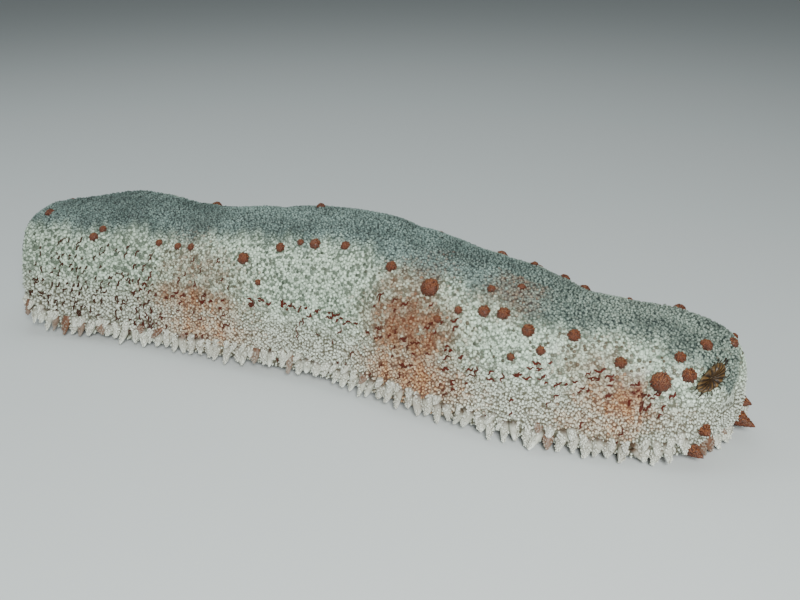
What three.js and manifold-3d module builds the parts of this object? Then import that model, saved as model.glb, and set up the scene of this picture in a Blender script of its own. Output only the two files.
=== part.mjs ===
// Amberfish sea cucumber, a still life-size model lying on its flat sole.
// Millimetres, +Z up. The head end points to -X, the vent end to +X, and the
// animal's left flank, the one that shows in the photograph, faces -Y.
import * as THREE from 'three';
import { mergeVertices } from 'three/addons/utils/BufferGeometryUtils.js';
import Module from 'manifold-3d';

const wasm = await Module();
wasm.setup();

// Midline of the body seen from above, head to vent, at even steps.
const MIDLINE = [
  [-303, 9], [-245, 23], [-189, 30], [-133, 33], [-77, 33], [-21, 35],
  [41, 26], [102, 12], [159, 2], [210, 2], [255, 3], [296, -17],
];
// Half the width of the body near the floor, and its height, at the same steps.
const HALF_WIDTH = [58, 64, 66, 67, 68, 68, 67, 65, 62, 59, 57, 53];
const HEIGHT = [93, 96, 98, 100, 108, 113, 113, 107, 100, 88, 85, 83];
// Moves the drawn midline so that the finished model is centred on the origin.
const CENTRE_SHIFT = [-4.3, -21.5];

// Cross-section: boxy below, rounder above, narrower along the back.
const SQUARENESS_ABOVE = 3.0;
const SQUARENESS_BELOW = 5.0;
const WIDEST_RISE = 0.3;
const BACK_TAPER = 0.2;
const TAPER_START = 0.12;
const SOLE_RISE = 0.02;

// Blunt ends: how far back from the tip each part of the outline closes in.
const HEAD = { side: 30, above: 24, below: 60, sideBlunt: 2.6, aboveBlunt: 3, belowBlunt: 2.2, pole: 0.6 };
const TAIL = { side: 42, above: 42, below: 34, sideBlunt: 2.3, aboveBlunt: 2.3, belowBlunt: 2.6, pole: 0.55 };

// The body is parted across the midline at these lengths from the head tip.
const PARTINGS = [118, 240, 362, 486];
const GAP = 0.3;

const RING_STEP = 7.2;
const END_RINGS = 7;
const AROUND = 46;
const SOLE_SHARE = 0.45;

// Low swells of the back: where they lie, how far they spread and how high.
const SWELLS = [
  { length: 96, degrees: 112, spread: 46, turn: 32, lift: 10 },
  { length: 330, degrees: 95, spread: 60, turn: 40, lift: 2 },
  { length: 470, degrees: 120, spread: 40, turn: 35, lift: 4 },
];

// Granules that stand up from the skin everywhere but on the sole.
const GRANULE_LIFT = 2.6;
const GRANULE_FROM = 0.05;
const GRANULE_FADE = 16;

// Fringe of pointed papillae round the margin of the sole.
const FRINGE_STEP = 12.5;
const FRINGE_DEGREES = -9;
const FRINGE_LENGTH = [10, 14.5];
const FRINGE_RADIUS = [4.2, 5.2];
const FRINGE_TIP_HEIGHT = [1, 4];
const FRINGE_MOST_DROP = 0.85;
const FRINGE_SINK = 6;
const FRINGE_SIDES = 4;
// Where the fringe turns round each end: its depth behind the tip.
const HEAD_LIP = 12;
const TAIL_LIP = 8;
const LIP_DEGREES = 25;

// Warts of the left flank and back as [length from the head tip, degrees round
// the body from the left flank upward, radius], read from the photograph.
const WARTS = [
  [26, 78, 4.4], [83, 47, 4.2], [90, 56, 3.4], [149, 48, 3.3], [168, 46, 3.2], [182, 46, 3.2],
  [232, 38, 5.1], [246, 22, 2.6], [261, 48, 3.9], [280, 54, 2.8], [296, 54, 4.6], [324, 58, 3.8],
  [369, 54, 4.4], [404, 49, 7.1], [416, 29, 3], [429, 40, 3], [446, 46, 4.5], [458, 50, 4.8],
  [474, 44, 4.7], [483, 32, 3.4], [468, 22, 2.9], [501, 52, 4.7], [531, 36, 4.2], [583, 28, 7.1],
  [596, 43, 5.2], [587, 55, 3.9], [592, 84, 4.6], [596, 111, 4], [444, 68, 3], [460, 82, 3],
  [453, 114, 3], [270, 98, 3.6],
];
// The hidden right flank carries a like row: one wart in each step.
const FAR_WART_STEP = 27;
const FAR_WART_DEGREES = [124, 142];
const FAR_WART_RADIUS = [3, 5.2];
const WART_HEIGHT = 0.95;
const WART_SINK = 3;
const WART_SIDES = 6;
// Larger brown cones low on the tail end as [length, degrees, radius, height]:
// they lean outward, each dropping by a share of its height.
const TAIL_CONES = [[607, -14, 4.8, 7], [602, -62, 5.6, 12], [603, 222, 6, 14], [602, 181, 4, 7]];
const TAIL_CONE_DROP = 0.22;
const TAIL_CONE_SINK = 5;

// Mouth under the head, with a shallow hollow for the ring of tentacles.
const MOUTH_BACK = 56;
const MOUTH_POCKET = 20;
const MOUTH_DEPTH = 16;
const HOLLOW_RADIUS = 43;
const HOLLOW_DEPTH = 10;

const TENTACLES = 20;
const TENTACLE_RADII = [20, 32];
const TENTACLE_SIDES = 6;
const STALK_START = 12;
const STALK_RADIUS = 2.4;
const SHIELD_RADIUS = 5;
const SHIELD_FLATNESS = 0.5;
const SHIELD_LEVEL = 3.5;

// Vent at the tail end: a folded rosette in a dimple.
const VENT_RADIUS = 10.5;
const VENT_DEPTH = 7;
const VENT_FOLDS = 11;
const VENT_BACK = 4;
const VENT_DEGREES = 60;
const VENT_PUCKER = 1.1;
const SEED = 20;

const COLOURS = {
  skin: new THREE.Color(0.72, 0.74, 0.68),
  tentacle: new THREE.Color(0.33, 0.21, 0.12),
  vent: new THREE.Color(0.36, 0.22, 0.11),
};

const midline = new THREE.CatmullRomCurve3(
  MIDLINE.map(([x, y]) => new THREE.Vector3(x + CENTRE_SHIFT[0], y + CENTRE_SHIFT[1], 0)),
  false, 'catmullrom', 0.5,
);
const BODY_LENGTH = midline.getLength();
const across = new THREE.SplineCurve(HALF_WIDTH.map((value, i) => new THREE.Vector2(i, value)));
const upward = new THREE.SplineCurve(HEIGHT.map((value, i) => new THREE.Vector2(i, value)));

// Seeded draw, so that the same animal comes out each time.
let drawState = SEED;
function draw(low = 0, high = 1) {
  drawState = (drawState + 0x6d2b79f5) | 0;
  let mixed = Math.imul(drawState ^ (drawState >>> 15), 1 | drawState);
  mixed = (mixed + Math.imul(mixed ^ (mixed >>> 7), 61 | mixed)) ^ mixed;
  return low + (high - low) * (((mixed ^ (mixed >>> 14)) >>> 0) / 4294967296);
}

// Place on the midline at a length from the head tip, with its own axes.
function stationAt(length) {
  const share = THREE.MathUtils.clamp(length / BODY_LENGTH, 0, 1);
  const place = midline.getPointAt(share);
  const along = midline.getTangentAt(share);
  const near = new THREE.Vector3(along.y, -along.x, 0);
  return { place, along, near, half: across.getPoint(share).y, height: upward.getPoint(share).y };
}

// How far an outline has opened out at a depth behind the tip, 0 to 1.
function opening(depth, reach, blunt) {
  const closed = THREE.MathUtils.clamp(1 - depth / reach, 0, 1);
  return (1 - closed ** blunt) ** (1 / blunt);
}

function signedPower(value, power) {
  return Math.sign(value) * Math.abs(value) ** power;
}

// Share of the full width and height at an angle round the section.
function sectionShare(angle) {
  const squareness = Math.sin(angle) > 0 ? SQUARENESS_ABOVE : SQUARENESS_BELOW;
  const side = signedPower(Math.cos(angle), 2 / squareness);
  const lift = signedPower(Math.sin(angle), 2 / squareness);
  const level = lift > 0 ? WIDEST_RISE + (1 - WIDEST_RISE) * lift : WIDEST_RISE * (1 + lift);
  const rise = Math.max(0, (level - SOLE_RISE) / (1 - SOLE_RISE));
  const narrowing = BACK_TAPER * THREE.MathUtils.clamp((rise - TAPER_START) / (1 - TAPER_START), 0, 1);
  return { side: side * (1 - narrowing), rise };
}

// Height that the swells add at a place on the back.
function swellAt(length, angle) {
  return SWELLS.reduce((sum, { length: middle, degrees, spread, turn, lift }) => {
    const away = (length - middle) / spread;
    const round = (THREE.MathUtils.radToDeg(angle) - degrees) / turn;
    return sum + lift * Math.exp(-(away ** 2) - round ** 2);
  }, 0);
}

// Point of the skin at a length from the head tip and an angle round the body.
function skinPoint(length, angle) {
  const { place, near, half, height } = stationAt(length);
  const { side, rise } = sectionShare(angle);
  const fromHead = Math.max(length, 0);
  const fromTail = Math.max(BODY_LENGTH - length, 0);
  const end = fromHead < fromTail ? HEAD : TAIL;
  const depth = Math.min(fromHead, fromTail);
  const wide = opening(depth, end.side, end.sideBlunt);
  const tall = rise > end.pole
    ? opening(depth, end.above, end.aboveBlunt)
    : opening(depth, end.below, end.belowBlunt);
  const reach = half * side * wide;
  const level = height * (end.pole + (rise - end.pole) * tall) + swellAt(length, angle) * wide;
  return new THREE.Vector3(place.x + near.x * reach, place.y + near.y * reach, level);
}

// Outward direction of the skin, from two short steps along and round the body.
function skinNormal(length, angle) {
  const step = 0.4;
  const turn = 0.02;
  const from = THREE.MathUtils.clamp(length, step, BODY_LENGTH - step);
  const lengthwise = skinPoint(from + step, angle).sub(skinPoint(from - step, angle));
  const round = skinPoint(from, angle + turn).sub(skinPoint(from, angle - turn));
  return lengthwise.cross(round).normalize();
}

// Ring of skin points in which every other point stands up as a granule.
function skinRing(length, ringIndex, smooth) {
  return ANGLES.map((angle, j) => {
    const point = skinPoint(length, angle);
    const raised = (ringIndex + j) % 2 === 0 && sectionShare(angle).rise > GRANULE_FROM;
    if (smooth || !raised) return point;
    const depth = Math.min(length, BODY_LENGTH - length);
    const lift = GRANULE_LIFT * draw(0.7, 1.2) * Math.min(1, depth / GRANULE_FADE);
    const lifted = point.addScaledVector(skinNormal(length, angle), lift);
    return lifted.setZ(Math.max(lifted.z, 0));
  });
}

// Angles round the section at even distances, wider apart on the hidden sole.
function sectionAngles(count) {
  const fine = 720;
  const middle = BODY_LENGTH / 2;
  const angles = [];
  const travelled = [0];
  for (let i = 0; i <= fine; i += 1) angles.push(-Math.PI / 2 + (2 * Math.PI * i) / fine);
  for (let i = 1; i <= fine; i += 1) {
    const from = skinPoint(middle, angles[i - 1]);
    const to = skinPoint(middle, angles[i]);
    const weight = from.z < 1 && to.z < 1 ? SOLE_SHARE : 1;
    travelled.push(travelled[i - 1] + weight * from.distanceTo(to));
  }
  const picked = [];
  let at = 0;
  for (let j = 0; j < count; j += 1) {
    const goal = (travelled[fine] * j) / count;
    while (travelled[at + 1] < goal) at += 1;
    const part = (goal - travelled[at]) / (travelled[at + 1] - travelled[at]);
    picked.push(THREE.MathUtils.lerp(angles[at], angles[at + 1], part));
  }
  return picked;
}
const ANGLES = sectionAngles(AROUND);

// Lengths of the rings between two partings, closer together at a blunt end.
function ringLengths(from, to) {
  const lengths = [];
  const headReach = from <= 0 ? HEAD.below : 0;
  const tailReach = to >= BODY_LENGTH ? TAIL.above : 0;
  for (let i = 1; i < END_RINGS && headReach; i += 1) {
    lengths.push(headReach * (1 - Math.cos((Math.PI / 2) * (i / END_RINGS))));
  }
  const start = from + headReach;
  const stop = to - tailReach;
  const steps = Math.round((stop - start) / RING_STEP);
  for (let i = 0; i <= steps; i += 1) lengths.push(THREE.MathUtils.lerp(start, stop, i / steps));
  for (let i = END_RINGS - 1; i > 0 && tailReach; i -= 1) {
    lengths.push(BODY_LENGTH - tailReach * (1 - Math.cos((Math.PI / 2) * (i / END_RINGS))));
  }
  return lengths;
}

// Closed surface through rings of points, each end drawn together at a point.
// Quads are split between their lower corners, so that a raised point is a pyramid.
function loft(rings, first, last) {
  const positions = [];
  const faces = [];
  const around = rings[0].length;
  const add = (point) => positions.push(point.x, point.y, point.z) / 3 - 1;
  rings.forEach((ring) => ring.forEach(add));
  const firstAt = add(first);
  const lastAt = add(last);
  for (let i = 0; i + 1 < rings.length; i += 1) {
    for (let j = 0; j < around; j += 1) {
      const a = i * around + j;
      const b = i * around + ((j + 1) % around);
      const c = b + around;
      const d = a + around;
      if ((i + j) % 2 === 0) faces.push(a, b, d, b, c, d);
      else faces.push(a, b, c, a, c, d);
    }
  }
  const end = (rings.length - 1) * around;
  for (let j = 0; j < around; j += 1) {
    const next = (j + 1) % around;
    faces.push(firstAt, next, j);
    faces.push(lastAt, end + j, end + next);
  }
  const geometry = new THREE.BufferGeometry();
  geometry.setAttribute('position', new THREE.Float32BufferAttribute(positions, 3));
  geometry.setIndex(faces);
  return geometry;
}

function middleOf(ring) {
  const sum = ring.reduce((total, point) => total.add(point), new THREE.Vector3());
  return sum.divideScalar(ring.length);
}

// One length of the body, flat where it meets its neighbours.
function bodyLength(from, to) {
  const start = from <= 0 ? 0 : from + GAP / 2;
  const stop = to >= BODY_LENGTH ? BODY_LENGTH : to - GAP / 2;
  const lengths = ringLengths(start, stop);
  const rings = lengths.map((length, i) => skinRing(length, i, i === 0 || i === lengths.length - 1));
  const first = from <= 0 ? skinPoint(0, 0) : middleOf(rings[0]);
  const last = to >= BODY_LENGTH ? skinPoint(BODY_LENGTH, 0) : middleOf(rings[rings.length - 1]);
  return toSolid(loft(rings, first, last));
}

function toSolid(geometry) {
  const bare = geometry.index ? geometry.clone() : geometry;
  bare.deleteAttribute('normal');
  bare.deleteAttribute('uv');
  const merged = mergeVertices(bare, 1e-4);
  const solid = new wasm.Manifold(new wasm.Mesh({
    numProp: 3,
    vertProperties: Float32Array.from(merged.attributes.position.array),
    triVerts: Uint32Array.from(merged.index.array),
  }));
  if (solid.volume() >= 0) return solid;
  const flipped = Uint32Array.from(merged.index.array).reverse();
  return new wasm.Manifold(new wasm.Mesh({
    numProp: 3,
    vertProperties: Float32Array.from(merged.attributes.position.array),
    triVerts: flipped,
  }));
}

function largestPiece(solid) {
  return solid.decompose().reduce((best, piece) => (piece.volume() > best.volume() ? piece : best));
}

function toMesh(solid, name, colour, roughness) {
  const { vertProperties, triVerts, numProp } = solid.getMesh();
  const geometry = new THREE.BufferGeometry();
  const positions = new Float32Array((vertProperties.length / numProp) * 3);
  for (let i = 0; i < positions.length / 3; i += 1) {
    for (let axis = 0; axis < 3; axis += 1) positions[3 * i + axis] = vertProperties[numProp * i + axis];
  }
  geometry.setAttribute('position', new THREE.BufferAttribute(positions, 3));
  geometry.setIndex(new THREE.BufferAttribute(Uint32Array.from(triVerts), 1));
  geometry.computeVertexNormals();
  const material = new THREE.MeshStandardMaterial({ color: colour, roughness, metalness: 0 });
  const mesh = new THREE.Mesh(geometry, material);
  mesh.name = name;
  return mesh;
}

// Two directions square to a third, the first of them as level as can be.
function squareAxes(out) {
  const level = new THREE.Vector3(-out.y, out.x, 0);
  if (level.lengthSq() < 1e-6) level.set(1, 0, 0);
  level.normalize();
  return [level, new THREE.Vector3().crossVectors(out, level)];
}

// Tapering papilla: its root sunk in the skin, a waist part way up and a tip.
function papilla({ root, out, radius, length, sink, sides, waist, waistShare, flatness = 1 }) {
  const [level, steep] = squareAxes(out);
  const start = draw(0, Math.PI * 2);
  const ringAt = (along, wide) => Array.from({ length: sides }, (_, i) => {
    const angle = start + (Math.PI * 2 * i) / sides;
    return root.clone()
      .addScaledVector(out, along)
      .addScaledVector(level, wide * Math.cos(angle))
      .addScaledVector(steep, wide * flatness * Math.sin(angle));
  });
  const rings = [ringAt(-sink, radius), ringAt(length * waist, radius * waistShare)];
  const base = root.clone().addScaledVector(out, -sink);
  const tip = root.clone().addScaledVector(out, length);
  return toSolid(loft(rings, base, tip));
}

// Keeps a papilla clear of the partings, so that each stays on one node.
function clearOfPartings(length, radius) {
  const margin = radius + 1;
  const mark = PARTINGS.find((parting) => Math.abs(length - parting) < margin);
  if (mark === undefined) return length;
  return length < mark ? mark - margin : mark + margin;
}

// Even places along a line on the skin, as [length, angle] pairs.
function evenPlaces(lineAt) {
  const fine = 900;
  const places = [];
  let travelled = FRINGE_STEP / 2;
  let before = skinPoint(...lineAt(0));
  for (let i = 1; i <= fine; i += 1) {
    const here = skinPoint(...lineAt(i / fine));
    travelled += before.distanceTo(here);
    before = here;
    if (travelled >= FRINGE_STEP) {
      places.push(lineAt(i / fine));
      travelled -= FRINGE_STEP;
    }
  }
  return places;
}

// Margin of the sole: both sides, and the lip that joins them at each end.
function marginPlaces() {
  const edge = THREE.MathUtils.degToRad(FRINGE_DEGREES);
  const lip = THREE.MathUtils.degToRad(LIP_DEGREES);
  const lengthAt = (share) => THREE.MathUtils.lerp(HEAD_LIP, BODY_LENGTH - TAIL_LIP, share);
  const turnAt = (share) => THREE.MathUtils.lerp(-lip, lip - Math.PI, share);
  return [
    ...evenPlaces((share) => [lengthAt(share), edge]),
    ...evenPlaces((share) => [lengthAt(share), Math.PI - edge]),
    ...evenPlaces((share) => [HEAD_LIP, turnAt(share)]),
    ...evenPlaces((share) => [BODY_LENGTH - TAIL_LIP, turnAt(share)]),
  ];
}

// Papilla of the fringe: it leans out and down, its tip short of the floor.
function fringePapilla([place, angle]) {
  const radius = draw(...FRINGE_RADIUS);
  const length = draw(...FRINGE_LENGTH);
  const along = clearOfPartings(place + draw(-1.5, 1.5), radius);
  const root = skinPoint(along, angle + draw(-0.05, 0.05));
  const level = skinNormal(along, angle).setZ(0).normalize();
  const drop = Math.min(root.z - draw(...FRINGE_TIP_HEIGHT), length * FRINGE_MOST_DROP);
  const out = level.multiplyScalar(Math.sqrt(length ** 2 - drop ** 2)).setZ(-drop).normalize();
  const solid = papilla({
    root, out, radius, length, sink: FRINGE_SINK, sides: FRINGE_SIDES,
    waist: 0.45, waistShare: 0.72, flatness: 0.85,
  });
  return { along, solid };
}

// Brown cone of the tail end: it leans outward and drops a little.
function tailCone([place, degrees, radius, height]) {
  const angle = THREE.MathUtils.degToRad(degrees);
  const root = skinPoint(place, angle);
  const out = skinNormal(place, angle).setZ(0).normalize().setZ(-TAIL_CONE_DROP).normalize();
  const solid = papilla({
    root, out, radius, length: height, sink: TAIL_CONE_SINK, sides: WART_SIDES, waist: 0.4, waistShare: 0.66,
  });
  return { along: place, solid };
}

// Wart that stands square to the skin.
function wart([place, degrees, radius]) {
  const along = clearOfPartings(place, radius);
  const angle = THREE.MathUtils.degToRad(degrees);
  const root = skinPoint(along, angle);
  const out = skinNormal(along, angle);
  const length = radius * WART_HEIGHT;
  const solid = papilla({
    root, out, radius, length, sink: WART_SINK, sides: WART_SIDES, waist: 0.55, waistShare: 0.78,
  });
  return { along, solid };
}

// Warts of the hidden flank, one drawn in each step along the body.
function farWarts() {
  const count = Math.floor(BODY_LENGTH / FAR_WART_STEP);
  return Array.from({ length: count }, (_, i) => [
    FAR_WART_STEP * (i + draw(0.2, 0.8)), draw(...FAR_WART_DEGREES), draw(...FAR_WART_RADIUS),
  ]);
}

function allPapillae() {
  return [
    ...marginPlaces().map(fringePapilla),
    ...WARTS.map(wart),
    ...farWarts().map(wart),
    ...TAIL_CONES.map(tailCone),
  ];
}

// A turned form about +Z from (radius, height) pairs that start and end on the axis.
function turned(profile, sides) {
  return new THREE.LatheGeometry(profile.map(([radius, height]) => new THREE.Vector2(radius, height)), sides)
    .rotateX(Math.PI / 2);
}

const mouthStation = stationAt(MOUTH_BACK);

// Space under the head that the tentacle ring sits in.
function mouthHollow() {
  const pocket = MOUTH_POCKET + GAP;
  const profile = [
    [0, -5], [HOLLOW_RADIUS, -5], [HOLLOW_RADIUS, 0], [HOLLOW_RADIUS - 5, HOLLOW_DEPTH * 0.6],
    [HOLLOW_RADIUS - 14, HOLLOW_DEPTH], [pocket, HOLLOW_DEPTH + 0.5], [pocket, MOUTH_DEPTH], [0, MOUTH_DEPTH],
  ];
  return toSolid(turned(profile, 24).translate(mouthStation.place.x, mouthStation.place.y, 0));
}

// Feeding tentacle: a stalk that leans out from the mouth to a flat shield.
function tentacle(angle, reach) {
  const direction = new THREE.Vector3(Math.cos(angle), Math.sin(angle), 0);
  const start = direction.clone().multiplyScalar(STALK_START).setZ(MOUTH_DEPTH - 6);
  const end = direction.clone().multiplyScalar(reach).setZ(SHIELD_LEVEL);
  const out = end.clone().sub(start).normalize();
  const [level, steep] = squareAxes(out);
  const ringAt = (centre, wide, tall) => Array.from({ length: TENTACLE_SIDES }, (_, i) => {
    const turn = (Math.PI * 2 * i) / TENTACLE_SIDES;
    return centre.clone()
      .addScaledVector(level, wide * Math.cos(turn))
      .addScaledVector(steep, tall * Math.sin(turn));
  });
  const neck = start.clone().lerp(end, 0.65);
  const rings = [
    ringAt(start, STALK_RADIUS, STALK_RADIUS),
    ringAt(neck, STALK_RADIUS * 0.8, STALK_RADIUS * 0.7),
    ringAt(end, SHIELD_RADIUS, SHIELD_RADIUS * SHIELD_FLATNESS),
  ];
  return toSolid(loft(rings, start, end.clone().addScaledVector(direction, SHIELD_RADIUS * 0.6)));
}

// Peristome disc with a ring of shield-tipped feeding tentacles.
function mouthTentacles() {
  const ceiling = MOUTH_DEPTH - GAP;
  const disc = toSolid(turned([
    [0, ceiling - 3], [7, ceiling - 5], [14, ceiling - 7], [MOUTH_POCKET, ceiling - 4],
    [MOUTH_POCKET, ceiling], [0, ceiling],
  ], 20));
  const ring = Array.from({ length: TENTACLES }, (_, i) => (
    tentacle((Math.PI * 2 * i) / TENTACLES, TENTACLE_RADII[i % 2] + draw(-1, 1))
  ));
  const whole = ring.reduce((sum, piece) => sum.add(piece), disc);
  return whole.translate([mouthStation.place.x, mouthStation.place.y, 0]);
}

// Axes at the vent, pointing out of the tail end and a little upward.
function ventFrame() {
  const along = BODY_LENGTH - VENT_BACK;
  const angle = THREE.MathUtils.degToRad(VENT_DEGREES);
  const centre = skinPoint(along, angle);
  const out = skinNormal(along, angle).add(stationAt(along).along).normalize();
  const turn = new THREE.Quaternion().setFromUnitVectors(new THREE.Vector3(0, 0, 1), out);
  return new THREE.Matrix4().compose(centre, turn, new THREE.Vector3(1, 1, 1));
}

function ventDimple() {
  const wide = VENT_RADIUS + GAP;
  const profile = [[0, -VENT_DEPTH], [wide, -VENT_DEPTH], [wide + 1, 8], [0, 8]];
  return toSolid(turned(profile, 2 * VENT_FOLDS).applyMatrix4(ventFrame()));
}

// Rosette of folds that close toward the opening.
function ventRosette() {
  const floor = -VENT_DEPTH + GAP;
  const rings = [];
  const shape = [[0.35, -4.2], [0.6, -2.2], [0.85, -1.2], [1, -2.6]];
  const sides = 2 * VENT_FOLDS;
  const ringOf = (radius, level) => Array.from({ length: sides }, (_, i) => {
    const angle = (2 * Math.PI * i) / sides;
    const fold = i % 2 ? VENT_PUCKER : -VENT_PUCKER;
    return new THREE.Vector3(radius * Math.cos(angle), radius * Math.sin(angle), level + fold);
  });
  rings.push(Array.from({ length: sides }, (_, i) => {
    const angle = (2 * Math.PI * i) / sides;
    return new THREE.Vector3(VENT_RADIUS * Math.cos(angle), VENT_RADIUS * Math.sin(angle), floor);
  }));
  shape.slice().reverse().forEach(([share, level]) => rings.push(ringOf(VENT_RADIUS * share, level)));
  const geometry = loft(rings, new THREE.Vector3(0, 0, floor), new THREE.Vector3(0, 0, -5));
  return toSolid(geometry.applyMatrix4(ventFrame()));
}

const group = new THREE.Group();
const papillae = allPapillae();
const marks = [0, ...PARTINGS, BODY_LENGTH];
['head', 'forebody', 'midbody', 'hindbody', 'tail'].forEach((name, i) => {
  const own = papillae.filter(({ along }) => along > marks[i] && along <= marks[i + 1]);
  let solid = own.reduce((sum, piece) => sum.add(piece.solid), bodyLength(marks[i], marks[i + 1]));
  if (name === 'head') solid = solid.subtract(mouthHollow());
  if (name === 'tail') solid = solid.subtract(ventDimple());
  group.add(toMesh(largestPiece(solid), name, COLOURS.skin, 0.75));
});
group.add(toMesh(largestPiece(mouthTentacles()), 'mouth_tentacles', COLOURS.tentacle, 0.6));
group.add(toMesh(largestPiece(ventRosette()), 'vent', COLOURS.vent, 0.6));

export default group;
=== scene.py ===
"""Amberfish sea cucumber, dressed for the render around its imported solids.

The body form repeats the named sizes of the part's source, in millimetres, and
every mesh is turned into metres as it is made. The head end points to -X, the
vent end to +X, and the left flank, the one that the photograph shows, to -Y.
"""

import logging
import math
from dataclasses import dataclass, field
from enum import Enum
from typing import Callable

import bpy
import numpy as np

from mathutils.kdtree import KDTree
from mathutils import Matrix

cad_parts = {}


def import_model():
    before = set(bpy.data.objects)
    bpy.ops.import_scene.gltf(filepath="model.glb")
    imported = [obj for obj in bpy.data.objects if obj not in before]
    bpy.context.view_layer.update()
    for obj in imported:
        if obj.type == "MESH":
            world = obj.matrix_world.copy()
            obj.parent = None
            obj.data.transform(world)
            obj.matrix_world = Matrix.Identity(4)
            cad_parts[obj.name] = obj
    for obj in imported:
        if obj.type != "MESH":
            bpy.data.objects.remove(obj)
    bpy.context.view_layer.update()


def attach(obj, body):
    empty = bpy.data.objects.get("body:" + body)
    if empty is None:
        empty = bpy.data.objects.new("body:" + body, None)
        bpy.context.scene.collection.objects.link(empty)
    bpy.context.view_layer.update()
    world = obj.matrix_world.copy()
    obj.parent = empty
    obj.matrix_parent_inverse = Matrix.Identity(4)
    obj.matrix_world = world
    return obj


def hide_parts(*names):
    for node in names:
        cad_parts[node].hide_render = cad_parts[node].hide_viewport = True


LOG = logging.getLogger("sea_cucumber")
MM = 0.001
PARTINGS = (118.0, 240.0, 362.0, 486.0)
FLESH_NODES = ("head", "forebody", "midbody", "hindbody", "tail")
SOLE_CLEARANCE = 1.6
ROUND = 2 * np.pi
LEVEL = np.array([1.0, 1.0, 0.0])
UP = np.array([0.0, 0.0, 1.0])
BESIDE = np.array([1.0, 0.0, 0.0])

# Profiles of the modelled papillae: share of the height and of the radius at each ring.
DOME = ((0.34, 0.92), (0.74, 0.58), (1.0, 0.0))
PEAK = ((0.26, 0.82), (0.62, 0.44), (1.0, 0.0))
MOUND = ((0.25, 1.0), (0.55, 0.90), (0.8, 0.68), (0.95, 0.36), (1.0, 0.0))
CONE = ((0.18, 0.95), (0.45, 0.74), (0.75, 0.42), (0.93, 0.18), (1.0, 0.0))
WART_GRAIN = ((0.5, 0.85), (1.0, 0.0))
LEAF = ((0.16, 1.04), (0.40, 0.94), (0.62, 0.76), (0.82, 0.48), (0.94, 0.24), (1.0, 0.0))
LEAF_GRAIN = ((0.55, 0.8), (1.0, 0.0))
STALK = ((0.3, 0.85), (0.7, 0.75), (0.9, 1.1), (1.0, 0.4))
LOBE = ((0.4, 1.1), (0.8, 0.8), (1.0, 0.0))
FOOT = ((0.55, 0.7), (0.8, 1.0), (1.0, 0.85))

# Shallow waists of the skin: length and depth of each, in millimetres.
WAISTS = ((232.0, 1.6), (352.0, 1.8), (497.0, 1.4))


class Band(Enum):
    """Bands of granules round the body: first and last turn in degrees.

    The lips are the lower part of both end faces, between the two flanks.
    """

    LEFT_FLANK = (-27.0, 54.0)
    BACK = (54.0, 126.0)
    RIGHT_FLANK = (126.0, 207.0)
    LIPS = (207.0, 333.0)


@dataclass(frozen=True)
class EndShape:
    """How the outline closes in behind one blunt end, in millimetres."""

    side: float
    above: float
    below: float
    side_blunt: float
    above_blunt: float
    below_blunt: float
    pole: float


@dataclass(frozen=True)
class Swell:
    """Low swell of the back: its place, spread and height."""

    length: float
    degrees: float
    spread: float
    turn: float
    lift: float


def smooth_step(low: float, high: float, value: np.ndarray) -> np.ndarray:
    """Rise smoothly from 0 at low to 1 at high."""
    share = np.clip((value - low) / (high - low), 0.0, 1.0)
    return share * share * (3.0 - 2.0 * share)


def unit(vectors: np.ndarray) -> np.ndarray:
    """Scale each vector to length one."""
    return vectors / np.maximum(np.linalg.norm(vectors, axis=-1, keepdims=True), 1e-9)


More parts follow.
